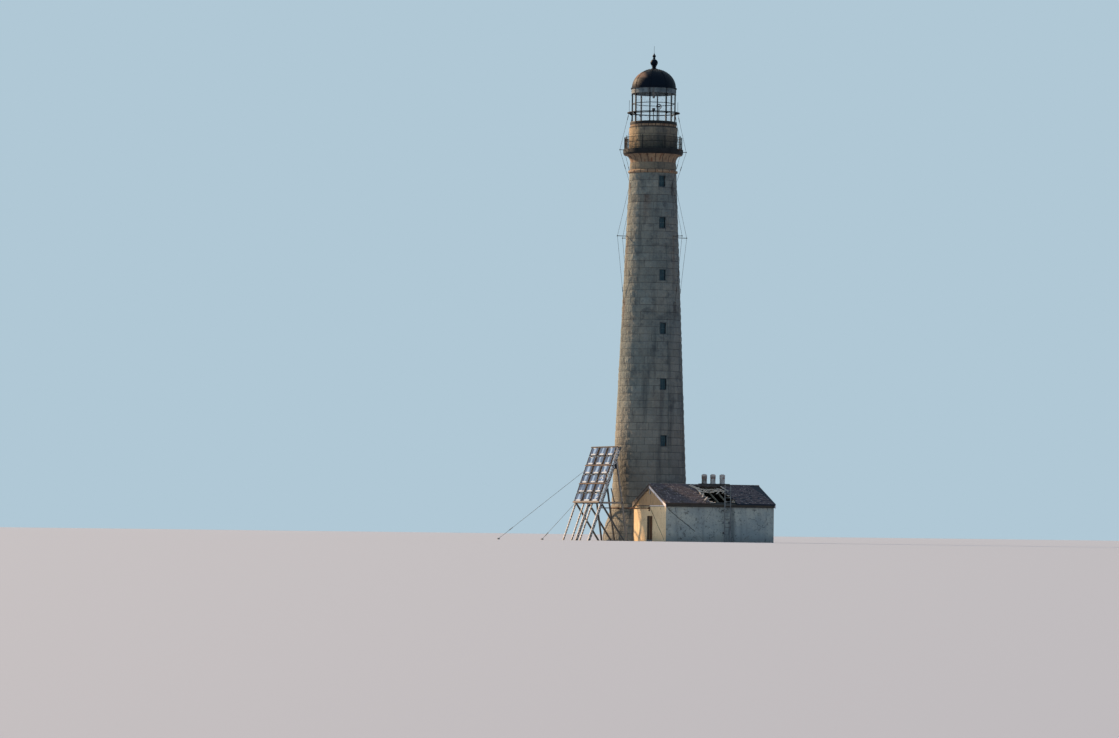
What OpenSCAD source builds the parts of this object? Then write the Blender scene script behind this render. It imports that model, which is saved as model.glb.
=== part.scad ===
// Stone lighthouse with its service house and solar panel rack, at half its real size.
// The origin is on the tower's axis at the ground. The windows face -Y, the house runs
// along X in front of the tower, and the panel rack stands on the -X side.

/* [Tower] */
// Radius of the flared foot at the ground
foot_r = 1880; // [1800:5:1950]
// Height of the flared foot
foot_h = 1525; // [1500:5:1600]
// Radius of the shaft where it leaves the foot
shaft_foot_r = 1545; // [1500:5:1580]
// Radius of the shaft under the belt
shaft_top_r = 967; // [900:1:1000]
// Height of the shaft above the foot
shaft_h = 13700; // [13000:10:14500]
// Radius of the open well inside the tower
well_r = 625; // [550:5:680]
// Thickness of the tower's ground floor
tower_floor_t = 100; // [60:5:150]
// Width of the passage from the house into the tower
passage_w = 480; // [400:10:600]
// Clear height of that passage
passage_h = 950; // [850:10:1100]
// Width of a window opening
window_w = 300; // [240:5:320]
// Height of a window opening
window_h = 475; // [400:5:520]
// Depth of a window frame behind the face of the wall
window_recess = 90; // [70:5:130]

/* [Gallery] */
// Height of the belt course
belt_h = 150; // [100:5:200]
// Radius of the belt course at its nose
belt_r = 1030; // [1010:5:1080]
// Radius of the neck above the belt
neck_r = 945; // [900:5:960]
// Height of the plain neck
neck_h = 305; // [250:5:400]
// Height of the curved corbel under the deck
corbel_h = 320; // [250:5:400]
// Radius of the corbel at its top
corbel_r = 1210; // [1150:5:1230]
// Radius of the gallery deck
deck_r = 1245; // [1240:5:1300]
// Thickness of the gallery deck
deck_t = 225; // [150:5:260]
// Outer radius of the watch room
watch_r = 995; // [980:5:1020]
// Wall thickness of the watch room
watch_t = 200; // [150:5:220]
// Height of the watch room wall
watch_h = 925; // [850:5:1000]
// Height of the gallery railing
railing_h = 500; // [400:5:600]
// Radius of the railing's centre line
railing_r = 1200; // [1180:5:1205]
// Balusters in each of the eight railing panels
balusters = 16; // [8:1:18]

/* [Lantern] */
// Radius of the lantern's stone sill
sill_r = 960; // [950:5:975]
// Height of that sill
sill_h = 175; // [120:5:220]
// Radius of the circle through the lantern posts
lantern_r = 900; // [890:1:902]
// Height of the glazed storey
lantern_h = 1225; // [1100:5:1300]
// Width of a lantern post
post_w = 45; // [30:1:60]
// Thickness of the lantern glass
glass_t = 8; // [5:1:12]
// Height of the metal frieze over the glass
frieze_h = 200; // [150:5:250]
// Radius of the dome
dome_r = 915; // [900:1:930]
// Height of the dome
dome_h = 800; // [700:5:900]
// Thickness of the dome's plate
dome_t = 20; // [15:1:30]
// Radius of the ventilator ball
ball_r = 155; // [130:1:180]
// Height of the outside walkway above the sill
walkway_rise = 435; // [420:5:460]

/* [Stays] */
// Radius of a stay wire
stay_r = 6; // [4:1:8]
// Radius at the tips of the deck outriggers
deck_tip_r = 1470; // [1400:5:1550]
// Radius at the tips of the shaft outriggers
shaft_tip_r = 1535; // [1450:5:1600]

/* [House] */
// Length of the house
house_l = 4800; // [4400:10:5200]
// Width of the house across its gable
house_w = 3250; // [3100:10:3400]
// Outer face of the gable wall with the door, along x
house_x = -1300; // [-1340:5:-1280]
// Outer face of the wall beside the tower, along y
house_y = -1450; // [-1480:5:-1420]
// Thickness of the masonry walls
wall_t = 170; // [140:5:200]
// Height of the masonry walls
wall_h = 1425; // [1400:5:1440]
// Height of the roof's ridge
ridge_z = 2340; // [2250:5:2450]
// Height of the roof's top at the eaves
eave_z = 1562; // [1555:1:1580]
// Overhang of the roof past the long walls
eave_out = 75; // [65:5:100]
// Overhang of the roof past the gables
gable_out = 50; // [40:5:80]
// Thickness of the roof boards with their shingles
roof_t = 60; // [45:1:65]
// Thickness of the house floor
floor_t = 60; // [40:5:80]
// Start of the hole in the front roof, along x
hole_x = 560; // [450:10:700]
// Width of that hole
hole_w = 1240; // [1100:10:1300]

/* [House door] */
// Width of the doorway in the gable wall
door_w = 540; // [480:5:600]
// Height of the doorway in the gable wall
door_h = 1030; // [950:5:1100]
// Thickness of the door frame
frame_t = 20; // [15:1:30]
// Depth of the door frame
frame_d = 80; // [70:1:100]
// Thickness of the door leaf
leaf_t = 30; // [25:1:35]

/* [Roof stacks and ladder] */
// Radius of a vent stack
stack_r = 105; // [90:1:115]
// Height of the stacks above the ridge
stack_rise = 430; // [380:5:500]
// Width of the wall ladder
ladder_w = 280; // [220:5:320]
// Height of the wall ladder
ladder_h = 2320; // [2200:10:2500]

/* [Panel rack] */
// Foot of the front legs, along x
rack_x = -3620; // [-3700:5:-3550]
// Height to the top of the front legs
rack_h = 3850; // [3700:10:4000]
// How far the front legs lean back over that height
rack_lean = 1350; // [1250:10:1450]
// Foot of the rear legs, along x
rear_x = -1880; // [-1900:5:-1870]
// How far the rear legs end below the front legs' tops
rear_drop = 400; // [350:10:450]
// Middle of the rack, along y
rack_y = -775; // [-800:5:-740]
// Width of the rack between its outer frames
rack_w = 2650; // [2500:10:2800]
// Height of the cross beams
platform_z = 1550; // [1500:5:1600]
// Width of a rack bar, and depth of a light leg
bar = 50; // [40:1:60]
// Depth of the front legs of the near and the middle frame
main_leg_d = 105; // [80:5:120]
// Depth of the rear legs, cross beams and diagonals
brace_d = 68; // [55:1:80]
// Thickness of a solar panel
panel_t = 25; // [18:1:30]

/* [Hidden] */
$fn = 48;

// Running gap between pieces that are seated on each other
fit = 0.3;
// Overrun of a cut past the face that it opens
over = 20;
// Angle left open between two curved segments
joint_angle = 0.03;

// Tower heights and profile: shares of the flare's width and height
foot_profile_shares = [[1, 0], [1, 0.2], [0.79, 0.4], [0.49, 0.6], [0.21, 0.8], [0, 1]];
foot_flare = foot_r - shaft_foot_r;
// Clearance between round faces that lie in each other
ring_gap = 5 * fit;
foot_points = [for (s = foot_profile_shares) [shaft_foot_r + foot_flare * s[0], foot_h * s[1]]];
shaft_top_z = foot_h + shaft_h;
face_table = [for (p = concat(foot_points, [[shaft_top_r, shaft_top_z]])) [p[1], p[0]]];
function face_r(z) = lookup(z, face_table);
passage_z = tower_floor_t + passage_h;
window_level_shares = [0.19, 0.361, 0.529, 0.69, 0.849, 0.974];
window_levels = [for (s = window_level_shares) foot_h + shaft_h * s];
window_frame_t = window_w / 12;
window_frame_d = window_w / 6;
window_glass_t = window_w / 50;

neck_z = shaft_top_z + belt_h;
corbel_z = neck_z + neck_h;
deck_z = corbel_z + corbel_h;
watch_z = deck_z + deck_t;
watch_in_r = watch_r - watch_t;
sill_z = watch_z + watch_h;
lantern_z = sill_z + sill_h;
frieze_z = lantern_z + lantern_h;
lip_z = frieze_z + frieze_h;
lip_h = 45;
lip_out = 40;
dome_z = lip_z + lip_h;
lip_in_r = dome_r - dome_t * 2.75;
dome_top_r = 60;
dome_step = 5;
dome_top_a = acos(dome_top_r / dome_r);
dome_steps = ceil(dome_top_a / dome_step);

gallery_door_w = 260;
gallery_door_h = 780;
gallery_door_t = 30;
baluster_w = 8;
rail_w = 14;
rail_post_w = 25;
rail_foot = 35;
panel_count = 8;

// The lantern's corner nearest to -Y is turned by this angle
lantern_phase = 11.5;
corner_count = 8;
corner_angles = [for (k = [0:corner_count - 1]) lantern_phase + 360 / corner_count * k];
post_d = 50;
post_in_r = lantern_r - post_d / 2;
post_out_r = lantern_r + post_d / 2;
side_half = 180 / corner_count;
side_r = lantern_r * cos(side_half);
side_l = 2 * lantern_r * sin(side_half);
glazing_bar = 25;
glazing_bar_d = 20;
tier_shares = [1 / 3, 2 / 3];
lantern_floor_t = 50;
walkway_z = lantern_z + walkway_rise;
walkway_t = 25;
walkway_in_r = post_out_r + 10;
walkway_out_r = 1095;
walkway_brace = 110;
brace_t = 8;
stanchion_h = 475;
stanchion_r = 7;
stanchion_tee = 60;

neck_ball_r = 35;
knob_r = 70;
spike_r = 6;
flange_r = 110;
flange_t = 30;
collar_h = 110;
ball_z = lip_z + lip_h + dome_h + collar_h + ball_r;
knob_z = ball_z + ball_r + knob_r + 45;
cone_h = 75;
spike_h = 280;
vent_pipe_r = 47;
vent_pipe_drop = 165;

beacon_r = 35;
beacon_h = 90;
beacon_stand_h = 600;
lamp_ring_r = 100;
lamp_ring_t = 14;
lamp_rise = 780;
lamp_offset = [202, -88];
stand_r = 9;
stand_foot_r = 60;
stand_foot_t = 15;

// Azimuths from -Y towards +X of the stays, and the places they pass, top to bottom
stay_angles = [-93, 30, 87, -150];
stay_standoff = 25;
stay_knot = 1.2;
stay_bend_r = stay_r * 1.5;
arm_w = 24;
deck_tip_z = deck_z + deck_t * 0.8;
// Heights of the upper clips, the arms and the lower clips: shares of the shaft's height
stay_level_shares = [0.968, 0.809, 0.607];
upper_tie_z = foot_h + shaft_h * stay_level_shares[0];
shaft_tip_z = foot_h + shaft_h * stay_level_shares[1];
lower_tie_z = foot_h + shaft_h * stay_level_shares[2];
stay_points = [
  [0, -(walkway_out_r - 12), walkway_z - walkway_t / 2 - stay_r - fit],
  [0, -deck_tip_r, deck_tip_z],
  [0, -(face_r(upper_tie_z) + stay_standoff), upper_tie_z],
  [0, -shaft_tip_r, shaft_tip_z],
  [0, -(face_r(lower_tie_z) + stay_standoff), lower_tie_z]
];
conductor_angle = 9;
conductor_r = 6;
conductor_bottom = foot_h + 195;
conductor_top_share = 0.816;
conductor_top = foot_h + shaft_h * conductor_top_share;

// House places
front_y = house_y - house_w;
house_x1 = house_x + house_l;
ridge_y = house_y - house_w / 2;
roof_run = house_w / 2 + eave_out;
pitch = atan((ridge_z - eave_z) / roof_run);
roof_len = roof_run / cos(pitch);
roof_plumb = roof_t / cos(pitch);
function roof_top(y) = ridge_z - abs(y - ridge_y) * tan(pitch);
function roof_under(y) = roof_top(y) - roof_plumb;
in_x = house_x + wall_t;
in_x1 = house_x1 - wall_t;
in_front_y = front_y + wall_t;
in_back_y = house_y - wall_t;
hole_x1 = hole_x + hole_w;
ridge_strip = 200;
tear = 110;
// Torn edges of the hole: shares of the tear's width and of the roof's slope
left_tear_shares = [[0.3, 0.22], [-0.4, 0.33], [0.25, 0.44], [-0.1, 0.55], [0.6, 0.66],
  [0.2, 0.77], [0.9, 0.88], [0.7, 1]];
right_tear_shares = [[-0.5, 0.2], [0.3, 0.31], [-0.3, 0.42], [0.5, 0.56], [0.1, 0.68],
  [0.6, 0.8], [0.2, 0.9], [0.4, 1]];
// Torn lower edge of the ridge strip: shares of the hole's width and of the tear's
strip_tear_shares = [[1, 0], [0.9, 0.5], [0.78, -0.2], [0.66, 0.3], [0.5, -0.3], [0.36, 0.5],
  [0.22, 0.1], [0.1, 0.7], [0, 0]];

rafter_w = 25;
rafter_d = 75;
rafter_pitch = 372;
ridge_beam_w = 30;
ridge_beam_d = 150;
rafter_count = floor((in_x1 - in_x) / rafter_pitch) - 1;
eave_box_w = 55;
eave_box_z = 1410;
barge_t = 30;
barge_h = 110;
gable_trim_h = 35;
gable_trim_t = 12;

curb_x = 900;
curb_l = 1300;
curb_half = 130;
curb_rise = 40;
stack_places = [210, 595, 1015];
stack_cap_r = 112;
stack_cap_h = 40;
stack_band_h = 150;

ladder_x = 1370;
ladder_gap = 120;
ladder_rail = 30;
rung_r = 8;
rung_pitch = 150;
ladder_tie_shares = [0.25, 0.55];

vent_w = 180;
vent_h = 260;
vent_z = 1925;
vent_t = 30;
slat_t = 8;
slat_count = 6;

// Door: the leaf lies flush with the wall's inner face, behind its stops
door_gap = 7;
stop_w = 12;
frame_in_w = door_w - 2 * (fit + frame_t);
leaf_w = frame_in_w - 2 * door_gap;
leaf_z = floor_t + door_gap;
frame_head_z = door_h - fit - frame_t;
leaf_h = frame_head_z - door_gap - leaf_z;
stop_d = frame_d - leaf_t - door_gap;
hinge_out = 12;
hinge_x = in_x + hinge_out;
hinge_y = ridge_y - leaf_w / 2;
pin_r = 5;
eye_gap = 0.5;
eye_r = 10;
strap_t = 6;
strap_l = 300;
strap_h = 28;
hinge_level_shares = [0.16, 0.84];
bracket_r = 8;
bracket_h = 16;
bracket_plate_l = 40;
bracket_off = 8;
bracket_in = 6;
knob_leaf_r = 12;
knob_out = 22;
knob_level = 480;
knob_edge = 40;
lintel_w = 640;
lintel_h = 140;
lintel_t = 12;
lintel_z = door_h + 45;

conduit_r = 20;
elbow_r = 26;
conduit_z = wall_h - 75;
junction = 80;
junction_d = 60;
lamp_box_w = 60;
lamp_box_z = lintel_z + lintel_h + 20;
lamp_box_h = 55;
conduit_slope = (face_r(conduit_z - conduit_r) - face_r(conduit_z + conduit_r)) / (2 * conduit_r);
conduit_arc_r = face_r(conduit_z) + elbow_r * norm([1, conduit_slope]) + fit;
conduit_wall_x = house_x - conduit_r - fit;
conduit_end_a = 180 + acos(-conduit_wall_x / conduit_arc_r);

// Rack places
lean = atan(rack_lean / rack_h);
leg_l = norm([rack_lean, rack_h]);
rack_back_y = rack_y + rack_w / 2;
rack_front_y = rack_y - rack_w / 2;
frame_ys = [rack_front_y, rack_y, rack_back_y];
third = rack_w / 3;
function front_leg_x(z) = rack_x + rack_lean * z / rack_h;
// The rear legs lean forward until their tops meet the front legs' face
rear_h = rack_h - rear_drop;
rear_lean = rear_x - front_leg_x(rear_h);
function rear_leg_x(z) = rear_x - rear_lean * z / rear_h;
rail_t = 40;
rail_over = 30;
rail_first = platform_z / cos(lean);
rail_last = leg_l - rail_t;
rail_count = 4;
stringer = 30;
stringer_gauge = 480;
panel_w = 720;
panel_l = 350;
panel_rows = 6;
row_pitch = (rail_last - rail_first) / panel_rows;
diagonal_foot_x = rear_x - 110;
// A snapped brace left standing on the near frame's cross beam
snapped_back = 600;
snapped_lean = 155;
snapped_h = 590;
snapped_d = 26;
conduit_rack_x = rear_leg_x(conduit_z) + brace_d / 2 * norm([1, rear_lean / rear_h])
  + conduit_r * rear_lean / rear_h + fit;
conduit_start_a = 180 - asin(rack_back_y / conduit_arc_r);

guy_r = 8;
guy_eye = 30;
guy_anchor = 80;
guy_anchor_h = 60;
guy_y = rack_back_y + bar / 2 + guy_eye / 2;
upper_guy_z = 2950;
upper_guy_x = -6450;
lower_guy_x = -4520;

stone = [0.52, 0.49, 0.44];
pale_stone = [0.6, 0.55, 0.47];
iron = [0.11, 0.13, 0.15];
stucco = [0.7, 0.66, 0.58];
shingle = [0.33, 0.27, 0.26];
weathered = [0.45, 0.4, 0.33];
white_paint = [0.85, 0.82, 0.78];
brown_wood = [0.38, 0.28, 0.2];
galvanised = [0.6, 0.57, 0.53];
pane = [0.35, 0.5, 0.55];

// A curved segment of a revolved profile, centred on one direction
module sector(middle, sweep)
  rotate([0, 0, middle - sweep / 2 + joint_angle / 2])
    rotate_extrude(angle = sweep - joint_angle) children();

module ring_of(count, phase = 0)
  for (k = [0:count - 1]) sector(phase + 360 / count * k, 360 / count) children();

// A plane outline in y and z drawn out along x, or in x and z drawn out along y
module along_x(from, to) translate([from, 0, 0]) rotate([90, 0, 90]) linear_extrude(to - from) children();
module along_y(middle, width)
  translate([0, middle + width / 2, 0]) rotate([90, 0, 0]) linear_extrude(width) children();

// A round or many-sided rod from one point to another
module rod(from, to, radius, sides = 8) {
  run = to - from;
  translate(from) rotate([0, acos(run[2] / norm(run)), atan2(run[1], run[0])])
    cylinder(h = norm(run), r = radius, $fn = sides);
}

// A flat strut between two points of a plane outline
module strut(from, to, width) {
  run = to - from;
  translate(from) rotate(atan2(run[1], run[0])) translate([0, -width / 2]) square([norm(run), width]);
}

// The whole body of the tower below the belt, grown by a gap, to cut what abuts it
module tower_outline(gap)
  rotate_extrude() polygon(concat(
    [[0, -over]], [[foot_r + gap, -over]],
    [for (p = foot_points) [p[0] + gap, p[1]]],
    [[shaft_top_r + gap, shaft_top_z], [0, shaft_top_z]]));

module base_profile() polygon(concat([[well_r, 0]], foot_points, [[well_r, foot_h]]));

module shaft_profile()
  polygon([[well_r, foot_h], [shaft_foot_r, foot_h], [shaft_top_r, shaft_top_z], [well_r, shaft_top_z]]);

module window_holes(turn)
  rotate([0, 0, turn]) for (z = window_levels)
    translate([-window_w / 2, -foot_r, z - window_h / 2]) cube([window_w, foot_r, window_h]);

module tower_floor() color(stone) {
  tongue = passage_w - 2 * fit;
  union() {
    cylinder(h = tower_floor_t, r = well_r - ring_gap);
    intersection() {
      cylinder(h = tower_floor_t, r = foot_r);
      translate([-tongue / 2, -foot_r, 0]) cube([tongue, foot_r, tower_floor_t]);
    }
  }
}

module base_wall() color(stone)
  for (middle = [0, 90, 180]) sector(middle, 90) base_profile();

module base_doorway() color(stone) {
  half = passage_w / 2;
  difference() {
    sector(270, 90) base_profile();
    translate([-half, -foot_r - over, -over]) cube([passage_w, foot_r + over, foot_h + 2 * over]);
  }
  intersection() {
    sector(270, 90) base_profile();
    translate([-half + fit, -foot_r - over, passage_z])
      cube([passage_w - 2 * fit, foot_r + over, foot_h - passage_z]);
  }
}

module shaft_quarter(middle) color(stone) difference() {
  sector(middle, 90) shaft_profile();
  if (middle == 270) window_holes(0);
  if (middle == 90) window_holes(180);
}

module shaft_front() shaft_quarter(270);
module shaft_right() shaft_quarter(0);
module shaft_back() shaft_quarter(90);
module shaft_left() shaft_quarter(180);

module each_window()
  for (turn = [0, 180], z = window_levels)
    rotate([0, 0, turn]) translate([0, -face_r(z) + window_recess, z]) children();

module window_frames() color(iron) each_window() {
  w = window_w - 2 * fit;
  h = window_h - 2 * fit;
  along_y(window_frame_d / 2, window_frame_d) difference() {
    square([w, h], center = true);
    square([w - 2 * window_frame_t, h - 2 * window_frame_t], center = true);
  }
}

module window_glass() color(pane) each_window() {
  w = window_w - 2 * fit - 2 * window_frame_t;
  h = window_h - 2 * fit - 2 * window_frame_t;
  along_y(window_frame_d / 2, window_glass_t) square([w, h], center = true);
}

module gallery_corbel() color(pale_stone)
  ring_of(4) polygon(concat(
    [[well_r, shaft_top_z], [shaft_top_r, shaft_top_z], [belt_r, shaft_top_z + belt_h * 0.3],
      [belt_r, shaft_top_z + belt_h * 0.7], [neck_r, neck_z]],
    [for (a = [0:15:90])
      [neck_r + (corbel_r - neck_r) * (1 - cos(a)), corbel_z + (corbel_h - fit) * sin(a)]],
    [[well_r, deck_z - fit]]));

module gallery_deck() color(iron)
  rotate_extrude() polygon([[0, deck_z], [corbel_r, deck_z], [deck_r, deck_z + deck_t * 0.3],
    [deck_r, watch_z], [0, watch_z]]);

module watch_room_wall() color(pale_stone) difference() {
  ring_of(4) translate([watch_in_r, watch_z + fit]) square([watch_t, watch_h - 2 * fit]);
  translate([-gallery_door_w / 2, 0, watch_z - over]) cube([gallery_door_w, deck_r, gallery_door_h + over]);
}

module gallery_door() color(iron)
  translate([-gallery_door_w / 2 + fit, watch_r - watch_t / 2, watch_z])
    cube([gallery_door_w - 2 * fit, gallery_door_t, gallery_door_h - fit]);

// Railing: eight panels of balusters between eight posts
rail_in_r = railing_r - rail_w / 2;
rail_clear_a = asin((rail_post_w / 2 + fit) / rail_in_r);
panel_sweep = 360 / panel_count - 2 * rail_clear_a;
rail_levels = [rail_foot, railing_h * 0.55, railing_h - rail_w];
module gallery_railing() color(iron)
  for (k = [0:panel_count - 1]) rotate([0, 0, 360 / panel_count * k + rail_clear_a]) {
    for (z = rail_levels) rotate_extrude(angle = panel_sweep)
      translate([rail_in_r, watch_z + z]) square(rail_w);
    for (b = [0:balusters - 1]) rotate([0, 0, panel_sweep * (b + 0.5) / balusters])
      translate([railing_r - baluster_w / 2, -baluster_w / 2, watch_z])
        cube([baluster_w, baluster_w, railing_h - rail_w / 2]);
  }

module gallery_posts() color(iron)
  for (k = [0:panel_count - 1]) rotate([0, 0, 360 / panel_count * k])
    translate([railing_r - rail_post_w / 2, -rail_post_w / 2, watch_z])
      cube([rail_post_w, rail_post_w, railing_h + rail_post_w]);

module lantern_sill() color(pale_stone)
  ring_of(corner_count, lantern_phase) polygon([[watch_in_r, sill_z], [sill_r, sill_z],
    [sill_r, lantern_z - sill_h * 0.15], [post_out_r + dome_t / 4, lantern_z], [watch_in_r, lantern_z]]);

module lantern_floor() color(iron)
  translate([0, 0, sill_z + lantern_floor_t]) cylinder(h = lantern_floor_t, r = watch_in_r - fit);

// The posts' outlines, grown by a gap where they cut what ends at them
module posts(gap, over_z)
  for (a = corner_angles) rotate([0, 0, a])
    translate([-post_w / 2 - gap, -post_out_r - gap, lantern_z - over_z])
      cube([post_w + 2 * gap, post_d + 2 * gap, lantern_h + 2 * over_z - fit]);

module lantern_posts() color(iron) posts(0, 0);

module each_side()
  for (a = corner_angles) rotate([0, 0, a + side_half]) children();

module lantern_bars() color(iron) difference() {
  each_side() for (s = tier_shares)
    translate([-side_l / 2, -side_r - glazing_bar_d / 2, lantern_z + lantern_h * s - glazing_bar / 2])
      cube([side_l, glazing_bar_d, glazing_bar]);
  posts(fit, over);
}

module lantern_glass() color(pane) difference() {
  each_side() translate([-side_l / 2, -side_r + glazing_bar_d / 2, lantern_z])
    cube([side_l, glass_t, lantern_h]);
  posts(fit, over);
}

module lantern_frieze() color(iron)
  ring_of(corner_count, lantern_phase)
    translate([lip_in_r, frieze_z]) square([post_out_r - lip_in_r, frieze_h - fit]);

module lantern_walkway() color(iron) {
  for (a = corner_angles) {
    sector(a - 90, 360 / corner_count)
      translate([walkway_in_r, walkway_z - walkway_t / 2]) square([walkway_out_r - walkway_in_r, walkway_t]);
    rotate([0, 0, a]) {
      translate([-post_w / 2, -walkway_in_r - over, walkway_z - walkway_t / 2])
        cube([post_w, walkway_in_r + over - post_out_r - fit, walkway_t]);
      along_x(-brace_t / 2, brace_t / 2) polygon([
        [-post_out_r - fit, walkway_z], [-post_out_r - fit, walkway_z - walkway_brace],
        [-walkway_out_r + over, walkway_z]]);
    }
  }
  for (a = stay_angles) rotate([0, 0, a]) {
    top = [0, -walkway_out_r + over, walkway_z + stanchion_h];
    half_tee = [stanchion_tee / 2, 0, 0];
    rod([top[0], top[1], walkway_z], top, stanchion_r);
    rod(top - half_tee, top + half_tee, stanchion_r);
  }
}

// The dome's curve from the lip to the ventilator, for an outer or an inner face
function dome_curve(inset) = [for (k = [0:dome_steps]) let (a = dome_top_a * k / dome_steps)
  [(dome_r - inset) * cos(a), dome_z + (dome_h - inset) * sin(a)]];
function reversed(list) = [for (k = [len(list) - 1:-1:0]) list[k]];
module dome() color(iron)
  ring_of(corner_count, lantern_phase + side_half) polygon(concat(
    [[lip_in_r, lip_z], [dome_r + lip_out, lip_z], [dome_r + lip_out, dome_z]],
    dome_curve(0), [for (p = reversed(dome_curve(dome_t))) [max(p[0], dome_top_r), p[1]]],
    [[lip_in_r, dome_z]]));

dome_hole_z = dome_z + dome_h * sin(dome_top_a);
module ventilator_ball() color(iron) union() {
  translate([0, 0, dome_hole_z - 2 * dome_t])
    cylinder(h = 2 * dome_t + collar_h + ball_r, r = dome_top_r - fit);
  translate([0, 0, dome_hole_z + fit]) cylinder(h = flange_t, r = flange_r);
  translate([0, 0, ball_z]) sphere(ball_r);
  translate([0, 0, ball_z]) cylinder(h = knob_z - ball_z, r = neck_ball_r);
  translate([0, 0, knob_z]) sphere(knob_r);
  translate([0, 0, knob_z + knob_r * 0.8]) cylinder(h = cone_h, r1 = neck_ball_r, r2 = spike_r);
  translate([0, 0, knob_z]) cylinder(h = knob_r + cone_h + spike_h, r = spike_r);
}

module vent_pipe() color(galvanised)
  translate([0, 0, frieze_z - vent_pipe_drop])
    cylinder(h = dome_hole_z - 2 * dome_t - frieze_z + vent_pipe_drop, r = vent_pipe_r);

floor_top = sill_z + 2 * lantern_floor_t;
module lamp_stand(height) union() {
  cylinder(h = stand_foot_t, r = stand_foot_r);
  cylinder(h = height, r = stand_r);
}

module beacon() color(iron) translate([0, 0, floor_top]) union() {
  lamp_stand(beacon_stand_h);
  translate([0, 0, beacon_stand_h - stand_foot_t]) cylinder(h = beacon_h, r = beacon_r);
}

module spare_lamp() color(iron)
  translate([lamp_offset[0], lamp_offset[1], floor_top]) union() {
    lamp_stand(lamp_rise - lamp_ring_r);
    translate([0, 0, lamp_rise]) rotate([90, 0, 0]) difference() {
      cylinder(h = 4 * lamp_ring_t, r = lamp_ring_r, center = true);
      cylinder(h = 5 * lamp_ring_t, r = lamp_ring_r - lamp_ring_t, center = true);
    }
    translate([0, 0, lamp_rise - lamp_ring_r]) cylinder(h = lamp_ring_r, r = stand_r);
    translate([0, 0, lamp_rise]) sphere(3 * stand_r);
  }

// One stay, or the hole that it runs through
module stay_line(radius, bend_r) {
  for (k = [0:len(stay_points) - 2]) rod(stay_points[k], stay_points[k + 1], radius);
  for (k = [1:len(stay_points) - 2]) translate(stay_points[k]) sphere(bend_r, $fn = 16);
}

// Arms that hold the stays off the deck and the shaft, and clips on the shaft
module stay_arm(tip, z) {
  length = tip + arm_w / 2;
  translate([-arm_w / 2, -length, z - arm_w / 2]) cube([arm_w, length, arm_w]);
}

module stay_outriggers() color(iron) for (a = stay_angles) rotate([0, 0, a]) {
  difference() {
    stay_arm(deck_tip_r, deck_tip_z);
    cylinder(h = watch_z, r = deck_r + ring_gap);
    stay_line(stay_r + fit, stay_bend_r);
  }
  difference() {
    union() {
      stay_arm(shaft_tip_r, shaft_tip_z);
      for (z = [upper_tie_z, lower_tie_z]) stay_arm(face_r(z) + stay_standoff, z);
    }
    tower_outline(fit);
    stay_line(stay_r + fit, stay_bend_r);
  }
}

module stay_wires() color(iron) for (a = stay_angles) rotate([0, 0, a]) union()
  stay_line(stay_r, stay_r * stay_knot);

module lightning_conductor() color(iron) rotate([0, 0, conductor_angle])
  rod([0, -face_r(conductor_bottom) - conductor_r - fit, conductor_bottom],
    [0, -face_r(conductor_top) - conductor_r - fit, conductor_top], conductor_r);

// House walls
module wall_block(x0, x1, y0, y1, z0, z1) translate([x0, y0, z0]) cube([x1 - x0, y1 - y0, z1 - z0]);
door_y = ridge_y;

module door_wall_back() color(stucco) difference() {
  wall_block(house_x, in_x, door_y + door_w / 2, house_y, 0, wall_h);
  tower_outline(fit);
}

module door_wall_front() color(stucco)
  wall_block(house_x, in_x, front_y, door_y - door_w / 2, 0, wall_h);

module door_wall_over() color(stucco) union() {
  wall_block(house_x, in_x, door_y - door_w / 2, door_y + door_w / 2, door_h, wall_h);
  wall_block(house_x - lintel_t, house_x, door_y - lintel_w / 2, door_y + lintel_w / 2,
    lintel_z, lintel_z + lintel_h);
}

module long_wall(x0, x1, y0, y1) along_x(x0, x1)
  polygon([[y0, 0], [y1, 0], [y1, roof_under(y1) - fit], [y0, roof_under(y0) - fit]]);

module house_front_wall() color(stucco) long_wall(in_x, in_x1, front_y, in_front_y);

module house_end_wall() color(stucco) wall_block(in_x1, house_x1, front_y, house_y, 0, wall_h);

module back_wall(x0, x1) color(stucco) difference() {
  long_wall(x0, x1, in_back_y, house_y);
  tower_outline(fit);
}

module house_back_wall_left() back_wall(in_x, -fit / 2);
module house_back_wall_right() back_wall(fit / 2, in_x1);

module house_floor() color(stone) union() {
  difference() {
    wall_block(in_x, in_x1, in_front_y, in_back_y, 0, floor_t);
    tower_outline(fit);
  }
  wall_block(house_x, in_x, door_y - door_w / 2, door_y + door_w / 2, 0, floor_t);
}

// Boarded gables over the masonry, with a vent hole in each
gable_top = [[front_y, wall_h], [house_y, wall_h], [house_y, roof_under(house_y) - fit],
  [ridge_y, roof_under(ridge_y) - fit], [front_y, roof_under(front_y) - fit]];
module gable_boards() color(weathered)
  for (x = [house_x, in_x1]) along_x(x, x + wall_t) difference() {
    polygon(gable_top);
    translate([ridge_y - vent_w / 2, vent_z]) square([vent_w, vent_h]);
  }

module gable_vents() color(white_paint) {
  w = vent_w - 2 * fit;
  h = vent_h - 2 * fit;
  for (x = [house_x, house_x1 - vent_t]) along_x(x, x + vent_t)
    translate([ridge_y - w / 2, vent_z + fit]) union() {
      difference() {
        square([w, h]);
        translate([slat_t * 2, slat_t * 2]) square([w - slat_t * 4, h - slat_t * 4]);
      }
      for (k = [1:slat_count]) translate([0, h * k / (slat_count + 1)]) square([w, slat_t]);
    }
}

// A sheet on the front slope of the roof: x along the ridge, y up the slope from the eave side
module front_slope() intersection() {
  translate([0, ridge_y, ridge_z]) rotate([pitch, 0, 0]) translate([0, 0, -roof_t])
    linear_extrude(roof_t) children();
  translate([house_x - house_l, ridge_y - house_w, 0]) cube([3 * house_l, house_w, 2 * ridge_z]);
}

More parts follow.
